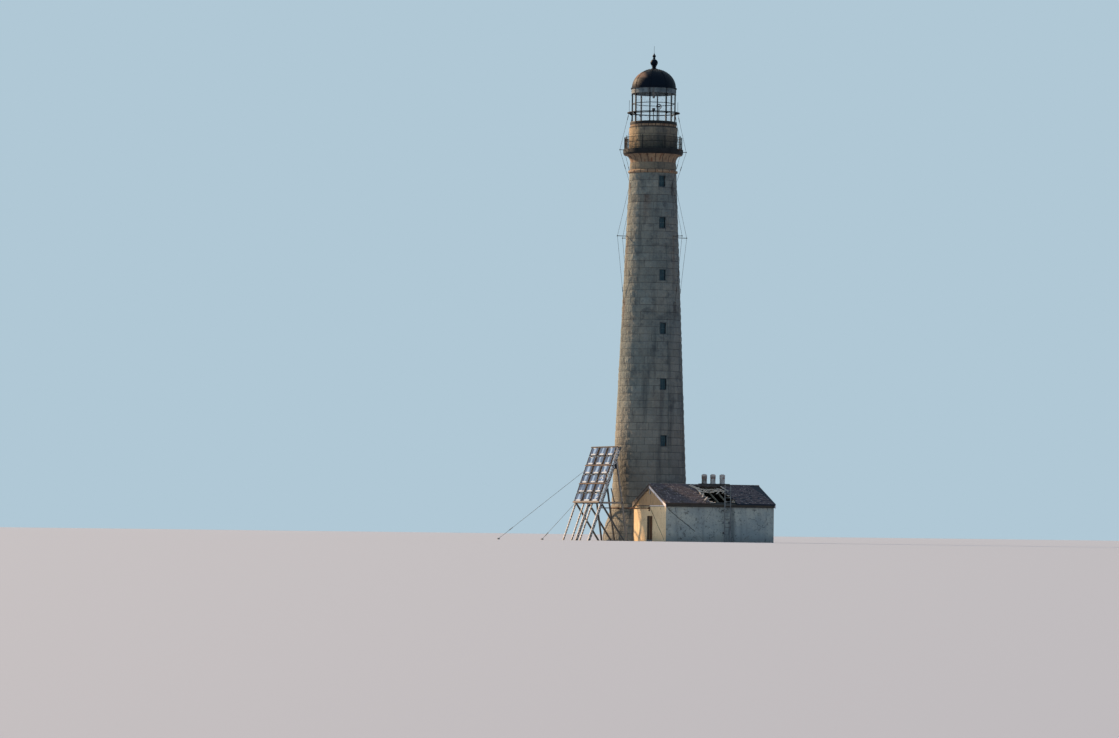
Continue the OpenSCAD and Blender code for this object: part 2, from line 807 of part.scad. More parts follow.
module roof_front_left() color(shingle) front_slope()
  polygon(concat([[house_x - gable_out, 0], [hole_x, 0], [hole_x, -ridge_strip]],
    [for (s = left_tear_shares) [hole_x + tear * s[0], -roof_len * s[1]]],
    [[house_x - gable_out, -roof_len]]));

module roof_front_right() color(shingle) front_slope()
  polygon(concat([[house_x1 + gable_out, 0], [hole_x1, 0], [hole_x1, -ridge_strip]],
    [for (s = right_tear_shares) [hole_x1 + tear * s[0], -roof_len * s[1]]],
    [[house_x1 + gable_out, -roof_len]]));

module roof_ridge_strip() color(shingle) front_slope()
  polygon(concat([[hole_x, 0], [hole_x1, 0]],
    [for (s = strip_tear_shares) [hole_x + hole_w * s[0], -ridge_strip + tear * s[1]]]));

module roof_back() color(shingle) difference() {
  along_x(house_x - gable_out, house_x1 + gable_out) polygon([
    [ridge_y, roof_top(ridge_y)], [ridge_y, roof_under(ridge_y)],
    [house_y + eave_out, roof_under(house_y + eave_out)], [house_y + eave_out, eave_z]]);
  tower_outline(fit);
}

module rafter(y0, y1) polygon([[y0, roof_under(y0) - fit], [y1, roof_under(y1) - fit],
  [y1, roof_under(y1) - fit - rafter_d], [y0, roof_under(y0) - fit - rafter_d]]);

module roof_timbers() color(weathered) {
  beam_y0 = ridge_y - ridge_beam_w / 2;
  beam_top = roof_under(beam_y0) - fit;
  wall_block(in_x, in_x1, beam_y0, beam_y0 + ridge_beam_w, beam_top - ridge_beam_d, beam_top);
  for (k = [1:rafter_count]) along_x(in_x + rafter_pitch * k, in_x + rafter_pitch * k + rafter_w) {
    rafter(in_front_y + fit, beam_y0 - fit);
    rafter(beam_y0 + ridge_beam_w + fit, in_back_y - fit);
  }
}

// Boxed eaves under the overhang of both slopes
module eave_boxes() color(weathered) {
  for (side = [-1, 1]) {
    face = side < 0 ? front_y - fit : house_y + fit;
    edge = face + side * eave_box_w;
    difference() {
      along_x(house_x, house_x1) polygon([[face, eave_box_z], [edge, eave_box_z],
        [edge, roof_under(edge) - fit], [face, roof_under(face) - fit]]);
      tower_outline(fit);
    }
  }
}

// Rake boards under the gable overhangs, and the trim over the masonry
module bargeboards() color(white_paint)
  for (side = [0, 1]) {
    x = side == 0 ? house_x - gable_out : house_x1 + gable_out - barge_t;
    trim_x = side == 0 ? house_x - gable_trim_t : house_x1;
    for (slope = [-1, 1]) along_x(x, x + barge_t) {
      eave = slope < 0 ? front_y - eave_out : house_y + eave_out;
      peak = ridge_y + slope * fit;
      polygon([[eave, roof_under(eave) - fit], [peak, roof_under(ridge_y) - fit],
        [peak, roof_under(ridge_y) - barge_h], [eave, roof_under(eave) - barge_h]]);
    }
    wall_block(trim_x, trim_x + gable_trim_t, front_y, house_y, wall_h, wall_h + gable_trim_h);
  }

module vent_curb() color(weathered) along_x(curb_x, curb_x + curb_l) polygon([
  [ridge_y - curb_half, ridge_z + curb_rise], [ridge_y + curb_half, ridge_z + curb_rise],
  [ridge_y + curb_half, roof_top(ridge_y + curb_half) + fit], [ridge_y, ridge_z + fit],
  [ridge_y - curb_half, roof_top(ridge_y - curb_half) + fit]]);

module vent_stacks() color(galvanised)
  for (place = stack_places) translate([curb_x + place, ridge_y, ridge_z + curb_rise]) union() {
    height = stack_rise - curb_rise - stack_cap_h;
    cylinder(h = height, r = stack_r);
    translate([0, 0, height - stack_band_h]) cylinder(h = stack_band_h, r = stack_cap_r);
    translate([0, 0, height]) cylinder(h = stack_cap_h, r1 = stack_cap_r, r2 = stack_cap_r / 2);
  }

module wall_ladder() color(galvanised) translate([ladder_x, front_y - ladder_gap, 0]) union() {
  side_x = ladder_w / 2 - ladder_rail / 2;
  for (side = [-1, 1]) {
    translate([side * side_x - ladder_rail / 2, -ladder_rail, 0]) cube([ladder_rail, ladder_rail, ladder_h]);
    for (s = ladder_tie_shares)
      translate([side * side_x - ladder_rail / 2, -ladder_rail / 2, wall_h * s])
        cube([ladder_rail, ladder_gap + ladder_rail / 2, ladder_rail / 2]);
  }
  for (z = [rung_pitch:rung_pitch:ladder_h - rung_pitch / 2])
    rod([-side_x, -ladder_rail / 2, z], [side_x, -ladder_rail / 2, z], rung_r);
}

// Door frame with its stops, and the hinge brackets with their pins
module frame_part(depth_x0, depth_x1, lip) {
  half = door_w / 2 - fit;
  inner = frame_in_w / 2 - lip;
  head_half = lip > 0 ? inner - fit : half;
  head_h = lip > 0 ? lip + fit : frame_t;
  along_x(depth_x0, depth_x1) translate([door_y, 0]) {
    for (left = [-half, inner]) translate([left, floor_t])
      square([half - inner, frame_head_z - fit - floor_t]);
    translate([-head_half, frame_head_z - lip]) square([2 * head_half, head_h]);
  }
}

module each_hinge()
  for (s = hinge_level_shares) translate([hinge_x, hinge_y, leaf_z + leaf_h * s]) children();

module door_frame() color(white_paint) union() {
  frame_part(in_x - frame_d, in_x, 0);
  frame_part(in_x - frame_d, in_x - frame_d + stop_d, stop_w);
  each_hinge() {
    down = strap_h / 2 + eye_gap + bracket_h;
    translate([0, 0, -down]) {
      cylinder(h = bracket_h, r = bracket_r);
      translate([-bracket_in, -bracket_off, 0]) cube([bracket_in + bracket_r, bracket_off, bracket_h]);
      translate([-hinge_out, -bracket_off - bracket_plate_l, 0])
        cube([hinge_out + bracket_r, bracket_plate_l, bracket_h]);
      cylinder(h = bracket_h + eye_gap + strap_h + eye_gap, r = pin_r);
    }
  }
}

module door_leaf() color(brown_wood)
  translate([in_x - leaf_t, hinge_y, leaf_z]) cube([leaf_t, leaf_w, leaf_h]);

module door_furniture() color(iron) {
  each_hinge() difference() {
    union() {
      translate([0, 0, -strap_h / 2]) cylinder(h = strap_h, r = eye_r);
      translate([-hinge_out, eye_r / 2, -strap_h / 2]) cube([hinge_out, eye_r, strap_h]);
      translate([-hinge_out, eye_r / 2, -strap_h / 2]) cube([strap_t, strap_l, strap_h]);
    }
    translate([0, 0, -strap_h]) cylinder(h = 2 * strap_h, r = pin_r + eye_gap);
  }
  handle_y = hinge_y + leaf_w - knob_edge;
  translate([in_x, handle_y, leaf_z + knob_level]) rotate([0, 90, 0]) cylinder(h = knob_out, r = knob_leaf_r);
  translate([in_x - leaf_t - knob_out, handle_y, leaf_z + knob_level]) rotate([0, 90, 0])
    cylinder(h = knob_out, r = knob_leaf_r);
}

// Cable pipe from the rack round the tower to the box over the house door
module cable_conduit() color(iron) {
  start = [conduit_arc_r * cos(conduit_start_a), conduit_arc_r * sin(conduit_start_a), conduit_z];
  turn = [conduit_arc_r * cos(conduit_end_a), conduit_arc_r * sin(conduit_end_a), conduit_z];
  box_y = door_y + junction / 2;
  union() {
    rod([conduit_rack_x, start[1], conduit_z], start, conduit_r, 24);
    translate(start) sphere(elbow_r);
    translate([0, 0, conduit_z]) rotate([0, 0, conduit_start_a])
      rotate_extrude(angle = conduit_end_a - conduit_start_a) translate([conduit_arc_r, 0]) circle(conduit_r);
    translate(turn) sphere(elbow_r);
    rod(turn, [turn[0], box_y, conduit_z], conduit_r, 24);
    translate([house_x - junction_d, door_y - junction / 2, conduit_z - junction / 2])
      cube([junction_d, junction, junction]);
  }
  translate([house_x - lamp_box_h, door_y - lamp_box_w / 2, lamp_box_z])
    cube([lamp_box_h, lamp_box_w, lamp_box_h]);
}

// Rack: the sloping plane of the front legs, with z up the legs and -x to the front
module rack_plane() translate([rack_x, 0, 0]) rotate([0, lean, 0]) children();

module above_ground() intersection() {
  children();
  translate([upper_guy_x, 0]) square([-upper_guy_x, 2 * rack_h]);
}

module front_leg_outline(depth) translate([rack_x, 0]) rotate(90 - lean) translate([-depth, -depth])
  square([leg_l + depth, depth]);

module rack_frames() color(galvanised) for (y = frame_ys) along_y(y, bar) above_ground() {
  front = [front_leg_x(platform_z) + bar / 2, platform_z];
  rear = [rear_leg_x(platform_z), platform_z];
  front_leg_outline(y == rack_back_y ? bar : main_leg_d);
  strut([rear_x, 0] + [rear_lean, -rear_h] * bar / rear_h, [rear_leg_x(rear_h), rear_h], brace_d);
  strut(front, rear, brace_d);
  strut(front, [diagonal_foot_x, -bar], brace_d);
  if (y == rack_front_y) strut(front + [snapped_back, 0],
    front + [snapped_back - snapped_lean, snapped_h], snapped_d);
}

module rack_mid_legs() color(galvanised)
  for (y = [rack_back_y - third, rack_front_y + third]) along_y(y, bar) above_ground() front_leg_outline(bar);

module rack_rails() color(weathered) rack_plane() for (k = [0:rail_count - 1])
  translate([-rail_t, rack_front_y - bar / 2 - rail_over,
      rail_first + (rail_last - rail_first) * k / (rail_count - 1) - rail_t / 2])
    cube([rail_t, rack_w + bar + 2 * rail_over, rail_t]);

column_ys = [for (k = [0:2]) rack_front_y + third * (k + 0.5)];
module rack_stringers() color(galvanised) rack_plane() for (y = column_ys, side = [-1, 1])
  translate([-rail_t - stringer, y + side * stringer_gauge / 2 - stringer / 2, rail_first - rail_t / 2])
    cube([stringer, stringer, rail_last - rail_first + rail_t]);

module solar_panels() color(pane) rack_plane() for (y = column_ys, k = [0:panel_rows - 1])
  translate([-rail_t - stringer - panel_t, y - panel_w / 2, rail_first + row_pitch * (k + 0.5) - panel_l / 2])
    cube([panel_t, panel_w, panel_l]);

// Guy wires on the outer frame, each with an eye block and an anchor on the ground
module guy(top_z, anchor_x) {
  top = [front_leg_x(top_z) + bar / 2, guy_y, top_z];
  foot = [anchor_x, guy_y, guy_anchor_h / 2];
  eye = [guy_eye, guy_eye, guy_eye];
  block = [guy_anchor, guy_anchor, guy_anchor_h];
  gap = [fit, fit, fit];
  translate(top - eye / 2) cube(eye);
  translate(foot - block / 2) cube(block);
  difference() {
    rod(top, foot, guy_r);
    translate(top - eye / 2 - gap) cube(eye + 2 * gap);
    translate(foot - block / 2 - gap) cube(block + 2 * gap);
  }
}

module rack_guys() color(galvanised) {
  guy(upper_guy_z, upper_guy_x);
  guy(platform_z, lower_guy_x);
}

tower_floor();
base_wall();
base_doorway();
shaft_front();
shaft_right();
shaft_back();
shaft_left();
window_frames();
window_glass();
gallery_corbel();
gallery_deck();
watch_room_wall();
gallery_door();
gallery_railing();
gallery_posts();
lantern_sill();
lantern_floor();
lantern_posts();
lantern_bars();
lantern_glass();
lantern_frieze();
lantern_walkway();
dome();
ventilator_ball();
vent_pipe();
beacon();
spare_lamp();
stay_outriggers();
stay_wires();
lightning_conductor();
door_wall_back();
door_wall_front();
door_wall_over();
house_front_wall();
house_end_wall();
house_back_wall_left();
house_back_wall_right();
house_floor();
gable_boards();
roof_front_left();
roof_front_right();
roof_ridge_strip();
roof_back();
roof_timbers();
eave_boxes();
bargeboards();
vent_curb();
vent_stacks();
wall_ladder();
gable_vents();
door_frame();
door_leaf();
door_furniture();
cable_conduit();
rack_frames();
rack_mid_legs();
rack_rails();
rack_stringers();
solar_panels();
rack_guys();
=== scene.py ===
import math
import random

import bmesh
import bpy
from mathutils import Matrix, Vector


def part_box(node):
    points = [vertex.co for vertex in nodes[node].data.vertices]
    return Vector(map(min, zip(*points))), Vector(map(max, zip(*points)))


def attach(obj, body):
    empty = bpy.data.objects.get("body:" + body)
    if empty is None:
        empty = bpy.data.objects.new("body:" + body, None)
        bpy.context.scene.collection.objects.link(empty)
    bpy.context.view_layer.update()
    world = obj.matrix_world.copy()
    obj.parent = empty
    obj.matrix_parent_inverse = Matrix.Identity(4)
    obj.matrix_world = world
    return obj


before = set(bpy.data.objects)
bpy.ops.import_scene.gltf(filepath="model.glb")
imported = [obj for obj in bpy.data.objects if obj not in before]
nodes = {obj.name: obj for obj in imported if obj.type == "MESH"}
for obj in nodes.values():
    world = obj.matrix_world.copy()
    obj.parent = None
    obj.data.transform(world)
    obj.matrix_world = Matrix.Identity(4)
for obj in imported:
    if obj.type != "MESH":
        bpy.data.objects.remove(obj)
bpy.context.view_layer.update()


# Tower: rock-faced granite blocks laid in courses round the flared foot and the shaft. Every
# course is a ring of blocks pillowed out from its joints, cut where a window or the passage
# goes through. The plain walls behind show only in the joints and inside.
class Flow:
    """A socket of a finish, on which sums are written as Python."""

    def __init__(self, finish, socket):
        self.finish, self.socket = finish, socket

    def _sum(self, operation, *terms):
        return self.finish.node("Math", {"operation": operation}, dict(enumerate(terms)))

    def __add__(self, other):
        return self._sum("ADD", self, other)

    def __sub__(self, other):
        return self._sum("SUBTRACT", self, other)

    def __rsub__(self, other):
        return self._sum("SUBTRACT", other, self)

    def __mul__(self, other):
        return self._sum("MULTIPLY", self, other)

    def __gt__(self, other):
        return self._sum("GREATER_THAN", self, other)

    def __lt__(self, other):
        return self._sum("LESS_THAN", self, other)

    def __abs__(self):
        return self._sum("ABSOLUTE", self)

    def __mod__(self, other):
        return self._sum("FLOORED_MODULO", self, other)

    def or_(self, other):
        return self._sum("MAXIMUM", self, other)

    __radd__, __rmul__ = __add__, __mul__


def tint(red, green, blue):
    """A colour as the eye sees it, 0 to 255, turned into the linear values that nodes use."""
    def linear(part):
        part /= 255
        return part / 12.92 if part <= 0.04045 else ((part + 0.055) / 1.055) ** 2.4
    return (linear(red), linear(green), linear(blue), 1.0)


class Finish:
    """One surface finish: a Principled shader and the nodes that feed it."""

    def __init__(self, name, **constants):
        self.material = bpy.data.materials.new(name)
        self.material.use_nodes = True
        self.tree = self.material.node_tree
        self.shader = self.tree.nodes["Principled BSDF"]
        for socket, value in constants.items():
            self.shader.inputs[socket.replace("_", " ")].default_value = value
        self.place = self.node("TexCoord", out="Object")
        self.x, self.y, self.z = (self.node("SeparateXYZ", None, {0: self.place}, out)
                                  for out in range(3))

    def node(self, kind, settings=None, sockets=None, out=0):
        made = self.tree.nodes.new("ShaderNode" + kind)
        for key, value in (settings or {}).items():
            setattr(made, key, value)
        for key, value in (sockets or {}).items():
            if isinstance(value, Flow):
                self.tree.links.new(value.socket, made.inputs[key])
            else:
                made.inputs[key].default_value = value
        return Flow(self, made.outputs[out])

    def noise(self, scale, detail=4.0, stretch=(1, 1, 1), shift=0.0):
        """Cloudy noise, 0 to 1 about a half; stretch multiplies the place along each axis."""
        place = self.node("Mapping", None, {"Vector": self.place, "Scale": stretch,
                                            "Location": (shift, shift * 0.7, shift * 1.3)})
        return self.node("TexNoise", None, {"Vector": place, "Scale": scale, "Detail": detail,
                                            "Roughness": 0.6})

    def fade(self, flow, low, high):
        """0 below low and 1 above high, softly; low above high turns it round."""
        settings = {"interpolation_type": "SMOOTHSTEP"}
        if low < high:
            return self.node("MapRange", settings, {0: flow, 1: low, 2: high})
        return 1 - self.node("MapRange", settings, {0: flow, 1: high, 2: low})

    def blend(self, share, first, second):
        return self.node("Mix", {"data_type": "RGBA"}, {0: share, 6: first, 7: second}, 2)

    def shade(self, colour, factor):
        """A colour made darker or lighter by a factor."""
        grey = self.node("CombineColor", None, {0: factor, 1: factor, 2: factor})
        return self.node("Mix", {"data_type": "RGBA", "blend_type": "MULTIPLY"},
                         {0: 1.0, 6: colour, 7: grey}, 2)

    def mark(self, name):
        """A value that the piece's own mesh carries."""
        return self.node("Attribute", {"attribute_name": name}, None, "Fac")

    def feed(self, **flows):
        for socket, flow in flows.items():
            self.tree.links.new(flow.socket, self.shader.inputs[socket.replace("_", " ")])
        return self

    def relief(self, height, depth):
        """Bumps of that depth in metres, from a height of 0 to 1."""
        return self.feed(Normal=self.node("Bump", None, {"Height": height, "Distance": depth,
                                                         "Strength": 1.0}))

    def coat(self, *names):
        """Puts the finish on CAD nodes."""
        for name in names:
            slots = nodes[name].material_slots
            for slot in slots:
                slot.material = self.material
            if not slots:
                nodes[name].data.materials.append(self.material)


def fix(mesh, name, finish, body="lighthouse"):
    """Turns a finished bmesh into a piece of the lighthouse."""
    data = bpy.data.meshes.new(name)
    mesh.to_mesh(data)
    mesh.free()
    piece = bpy.data.objects.new(name, data)
    bpy.context.scene.collection.objects.link(piece)
    data.materials.append(finish.material)
    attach(piece, body)
    return piece


stains = [(-93, 12.60, 1.9, 0.10, 0.8, 0), (30, 12.60, 2.4, 0.12, 0.5, 0), (87, 12.60, 1.7, 0.10, 0.7, 0),
          (-150, 12.60, 1.7, 0.10, 0.7, 0), (-93, 14.79, 0.9, 0.08, 0.8, 0), (30, 14.79, 0.9, 0.07, 0.8, 1),
          (87, 14.79, 0.8, 0.07, 0.7, 1), (-150, 14.79, 0.8, 0.07, 0.7, 1), (-38, 14.30, 1.5, 0.20, 0.4, 0),
          (12, 13.60, 1.2, 0.12, 0.4, 0), (30, 9.90, 1.3, 0.13, 0.7, 1), (-93, 9.95, 1.5, 0.12, 0.8, 0),
          (87, 9.90, 1.3, 0.12, 0.7, 0), (-150, 9.90, 1.3, 0.12, 0.7, 1), (-10, 6.20, 1.6, 0.26, 0.3, 0)]


def granite_finish(name, first, second, marked=True):
    """Rock-faced granite. stains are (degrees from the front, top, length, half width, strength, black)."""
    granite = Finish(name, Roughness=0.92)
    grit = granite.noise(38, 5)
    cloud = granite.noise(0.8, 5, shift=3)
    patch = granite.noise(2.6, 4, shift=9)
    runs = granite.noise(2.4, 4, (1, 1, 0.07), 5)
    drips = granite.noise(5.0, 4, (1, 1, 0.12), 2)
    colour = granite.blend(granite.fade(cloud, 0.35, 0.65), first, second)
    colour = granite.blend(granite.fade(patch, 0.50, 0.70) * 0.6, colour, tint(64, 70, 72))
    colour = granite.shade(colour, 0.60 + grit * 0.80)
    colour = granite.shade(colour, 0.70 + granite.noise(10, 5, shift=15) * 0.60)
    # Painted light: the lower tower is made lighter and warmer towards its foot.
    colour = granite.blend(granite.fade(granite.z, 6.6, 3.8) * 0.45, colour, tint(156, 146, 128))
    if marked:
        colour = granite.shade(colour, granite.mark("tone"))
    colour = granite.blend(granite.fade(runs, 0.48, 0.70) * 0.55, colour, tint(52, 60, 62))
    rust = granite.fade(drips, 0.62, 0.80) * granite.fade(granite.z, 5.5, 14.5) * 0.35
    soot = granite.fade(runs, 0.60, 0.80) * 0.3
    for degrees, top, length, half, strength, black in stains:
        turn = math.radians(degrees)
        beside = abs(granite.x * math.cos(turn) + granite.y * math.sin(turn))
        facing = granite.x * math.sin(turn) - granite.y * math.cos(turn) > 0
        below = granite.fade(granite.z, top - length, top - length * 0.2) * (granite.z < top)
        stain = granite.fade(beside + (drips - 0.5) * half * 2.4, half * 1.3, half * 0.1)
        stain = stain * below * facing * (0.25 + granite.fade(patch, 0.35, 0.6) * 0.75) * strength
        if black:
            soot = soot.or_(stain)
        else:
            rust = rust.or_(stain)
    colour = granite.blend(rust, colour, tint(92, 66, 50))
    colour = granite.blend(soot, colour, tint(40, 36, 37))
    lime = granite.fade(granite.noise(5, 3, (1, 1, 0.06), 14), 0.66, 0.8) * 0.3
    colour = granite.blend(lime, colour, tint(150, 154, 150))
    upper = granite.z > 16.1
    # Painted light: a warm tan strip on the watch room's west side, where the key lamp lights it.
    painted_lit_strip = granite.fade(granite.y * 0.399 - granite.x * 0.917, 0.50, 0.64) * upper
    # Painted shade: dark teal towards the bottom of the watch room, away from the lit strip, streaked by the
    # rain runs.
    painted_low_shade = granite.fade(granite.z, 16.95, 16.30) * upper * (1 - painted_lit_strip)
    colour = granite.blend(painted_low_shade * (0.15 + runs), colour, tint(46, 60, 58))
    colour = granite.blend(painted_lit_strip * 0.65, colour, tint(186, 158, 118))
    under_lip = granite.fade(abs(granite.z - 17.135), 0.035, 0.018)
    colour = granite.blend(under_lip * 0.8, colour, tint(36, 36, 34))
    if marked:
        colour = granite.blend(granite.mark("joint") * 0.95, colour, tint(32, 33, 33))
    granite.feed(Base_Color=colour)
    rough = granite.noise(7, 6, shift=21)
    return granite.relief(rough + grit * 0.3, 0.05)


joint_half = 0.010
proud = 0.0045
skin = 0.0015
flats = 4
rock_face = 0.017
block_l = 0.50
chance = random.Random(11)


def parts_of(faces, kind):
    """The verts, edges or faces that a list of faces or verts has, each once and always in one order."""
    return list(dict.fromkeys(part for face in faces for part in getattr(face, kind)))


def block_mesh():
    """An empty mesh whose faces hold the tone of their block and how dark its joint is."""
    mesh = bmesh.new()
    for layer in ("tone", "joint"):
        mesh.faces.layers.float.new(layer)
    return mesh


def block_count(radius, length):
    return max(8, round(2 * math.pi * radius / length))


def lay_course(wall, low, high, r_low, r_high, turn, holes, length=block_l):
    """Lays one ring of blocks. holes are (side, half width, low, high): side is the sign of y."""
    course = block_mesh()
    tone, joint = (course.faces.layers.float[layer] for layer in ("tone", "joint"))
    count = block_count(r_low, length)
    bmesh.ops.create_cone(course, cap_ends=False, segments=count * flats, radius1=r_low + skin,
                          radius2=r_high + skin, depth=high - low,
                          matrix=Matrix.Translation((0, 0, (low + high) / 2))
                          @ Matrix.Rotation(turn, 4, "Z"))
    course.faces.ensure_lookup_table()
    start = math.atan2(*course.faces[0].verts[0].co.yx)
    course.normal_update()
    if course.faces[0].normal.dot(course.faces[0].calc_center_median()) < 0:
        bmesh.ops.reverse_faces(course, faces=course.faces[:])
    for share in (0.3, 0.68):
        whole = course.verts[:] + course.edges[:] + course.faces[:]
        bmesh.ops.bisect_plane(course, geom=whole, plane_co=(0, 0, low + (high - low) * share),
                               plane_no=(0, 0, 1))
    for side, half, hole_low, hole_high in holes:
        if hole_low >= high or hole_high <= low:
            continue
        cuts = [((x, 0, 0), (1, 0, 0)) for x in (-half, half)]
        cuts += [((0, 0, z), (0, 0, 1)) for z in (hole_low, hole_high) if low + 0.02 < z < high - 0.02]
        for place, across in cuts:
            near = [f for f in course.faces if f.calc_center_median().y * side > 0
                    and (across[0] or abs(f.calc_center_median().x) < half)]
            geometry = near + parts_of(near, "edges") + parts_of(near, "verts")
            bmesh.ops.bisect_plane(course, geom=geometry, plane_co=place, plane_no=across, dist=1e-5)
        inside = [f for f in course.faces if f.calc_center_median().y * side > 0
                  and abs(f.calc_center_median().x) < half
                  and hole_low - 0.02 < f.calc_center_median().z < hole_high + 0.02]
        bmesh.ops.delete(course, geom=inside, context="FACES")
    blocks = {}
    for face in course.faces:
        centre = face.calc_center_median()
        angle = (math.atan2(centre.y, centre.x) - start) % (2 * math.pi)
        blocks.setdefault(int(angle / (2 * math.pi / count)), []).append(face)
    course_tone = chance.gauss(1.0, 0.04)
    for faces in blocks.values():
        shade = min(1.4, max(0.62, chance.gauss(course_tone, 0.065)))
        for face in faces:
            face[tone] = shade
        if sum(f.calc_area() for f in faces) < 0.25 * length * (high - low):
            continue
        rim = bmesh.ops.inset_region(course, faces=faces, use_boundary=True, use_even_offset=True,
                                     thickness=joint_half, depth=proud)
        level_dark, upright_dark = chance.uniform(0.3, 0.95), chance.choice((0.1, 0.2, 0.3, 0.4, 0.8))
        for face in rim["faces"]:
            level = face.calc_center_median().z
            face[joint] = level_dark if min(level - low, high - level) < joint_half * 2 else upright_dark
        for vert in parts_of(faces, "verts"):
            if not any(f[joint] for f in vert.link_faces):
                outward = Vector((vert.co.x, vert.co.y, 0)).normalized()
                vert.co += outward * chance.uniform(-0.15, 1.0) * rock_face
    data = bpy.data.meshes.new("course")
    course.to_mesh(data)
    course.free()
    wall.from_mesh(data)
    bpy.data.meshes.remove(data)


foot_profile = [(0.0, 1.880), (0.305, 1.880), (0.610, 1.80965), (0.915, 1.70915), (1.220, 1.61535),
                (1.525, 1.545)]
shaft_top = (15.225, 0.967)
window_w, window_h = 0.300, 0.475
window_levels = [foot_profile[-1][0] + 13.7 * share for share in (0.19, 0.361, 0.529, 0.69, 0.849, 0.974)]
tower_holes = [(side, window_w / 2, z - window_h / 2, z + window_h / 2)
               for side in (-1, 1) for z in window_levels] + [(-1, 0.24, -0.01, 1.05)]
courses = list(zip(foot_profile, foot_profile[1:]))
shaft_courses = 45
for k in range(shaft_courses):
    ends = []
    for share in (k / shaft_courses, (k + 1) / shaft_courses):
        ends.append(tuple(a + (b - a) * share for a, b in zip(foot_profile[-1], shaft_top)))
    courses.append(tuple(ends))
tower_blocks = block_mesh()
for k, ((low, r_low), (high, r_high)) in enumerate(courses):
    half_turn = math.pi / block_count(r_low, block_l)
    lay_course(tower_blocks, low, high, r_low, r_high, 0.4 * k + half_turn * (k % 2), tower_holes)
granite = granite_finish("granite_blocks", tint(108, 115, 109), tint(126, 127, 116))
fix(tower_blocks, "granite_courses", granite)
plain_granite = granite_finish("granite_backing", tint(84, 88, 86), tint(96, 96, 90), marked=False)
plain_granite.coat("base_wall", "base_doorway", "shaft_front", "shaft_right", "shaft_back", "shaft_left")


# Tower windows: iron frames with wired glass, six in a column on the front and six behind. Each
# gets three upright bars and one across, and a thin pale mortar line round the opening.
def face_radius(z):
    share = (z - foot_profile[-1][0]) / (shaft_top[0] - foot_profile[-1][0])
    return foot_profile[-1][1] + (shaft_top[1] - foot_profile[-1][1]) * share


def slab(mesh, low, high):
    """A box between two corners."""
    low, high = Vector(low), Vector(high)
    place = Matrix.LocRotScale((low + high) / 2, None, high - low)
    return bmesh.ops.create_cube(mesh, size=1, matrix=place)["verts"]


def bar(mesh, start, end, width, depth, up=(0, 0, 1)):
    """A straight bar of rectangular section between two points."""
    start, end = Vector(start), Vector(end)
    along = (end - start).normalized()
    side = along.cross(Vector(up))
    side = side.normalized() if side.length > 1e-4 else Vector((1, 0, 0))
    turn = Matrix((side, along.cross(side), along)).transposed().to_4x4()
    place = Matrix.Translation((start + end) / 2) @ turn
    place @= Matrix.Diagonal((width, depth, (end - start).length, 1))
    return bmesh.ops.create_cube(mesh, size=1, matrix=place)["verts"]


def tube(mesh, start, end, radius, sides=10, tip=None):
    """A round bar between two points, or a cone where the tip has another radius."""
    start, end = Vector(start), Vector(end)
    turn = (end - start).to_track_quat("Z", "Y").to_matrix().to_4x4()
    return bmesh.ops.create_cone(mesh, cap_ends=True, segments=sides, radius1=radius,
                                 radius2=radius if tip is None else tip, depth=(end - start).length,
                                 matrix=Matrix.Translation((start + end) / 2) @ turn)["verts"]


def iron_finish(name, paint, rusting, gloss=0.55, dull=tint(42, 46, 49)):
    """Painted iron: the paint dulls and chips, and rust runs down from the chips."""
    iron = Finish(name, Metallic=0.0, Specular_IOR_Level=0.3)
    fine = iron.noise(30, 5)
    wide = iron.noise(3.2, 5, shift=4)
    runs = iron.noise(9, 4, (1, 1, 0.08), 7)
    colour = iron.blend(iron.fade(wide, 0.4, 0.75), paint, dull)
    colour = iron.shade(colour, 0.8 + fine * 0.4)
    chips = iron.fade(wide + fine * 0.5, 1.02 - rusting, 1.14 - rusting)
    colour = iron.blend(chips * 0.85, colour, tint(104, 62, 38))
    streaks = iron.fade(runs, 0.66 - rusting * 0.4, 0.82) * min(0.6, rusting * 2)
    colour = iron.blend(streaks, colour, tint(92, 54, 34))
    iron.feed(Base_Color=colour, Roughness=gloss + chips * 0.35)
    return iron.relief(fine + chips * 0.6, 0.004)


black_iron = iron_finish("black_iron_paint", tint(22, 26, 30), 0.22)
window_bars = bmesh.new()
for side in (-1, 1):
    for z in window_levels:
        y = side * (face_radius(z) - 0.090 - 0.008)
        for share in (-0.25, 0, 0.25):
            x = window_w * share
            slab(window_bars, (x - 0.005, y - 0.008, z - 0.215), (x + 0.005, y + 0.008, z + 0.215))
        slab(window_bars, (-0.125, y - 0.008, z - 0.006), (0.125, y + 0.008, z + 0.006))
bar_paint = iron_finish("window_bar_paint", tint(92, 110, 112), 0.08, 0.7, tint(66, 82, 84))
fix(window_bars, "window_bars", bar_paint)
window_mortar = bmesh.new()
fillet = 0.012
for side in (-1, 1):
    for z in window_levels:
        inner, outer = sorted((side * (face_radius(z) - 0.060), side * (face_radius(z) - 0.004)))
        half_w, half_h = window_w / 2, window_h / 2
        for x in (-half_w, half_w - fillet):
            slab(window_mortar, (x, inner, z - half_h), (x + fillet, outer, z + half_h))
        for level in (z - half_h, z + half_h - fillet):
            slab(window_mortar, (fillet - half_w, inner, level), (half_w - fillet, outer, level + fillet))
lime_mortar = Finish("lime_mortar", Roughness=0.95)
crumbs = lime_mortar.noise(30, 5)
blotches = lime_mortar.fade(lime_mortar.noise(6, 4), 0.4, 0.65)
lime_mortar.feed(Base_Color=lime_mortar.blend(blotches, tint(104, 116, 116), tint(70, 78, 78)))
lime_mortar.relief(crumbs, 0.006)
fix(window_mortar, "window_mortar", lime_mortar)
black_iron.coat("window_frames")

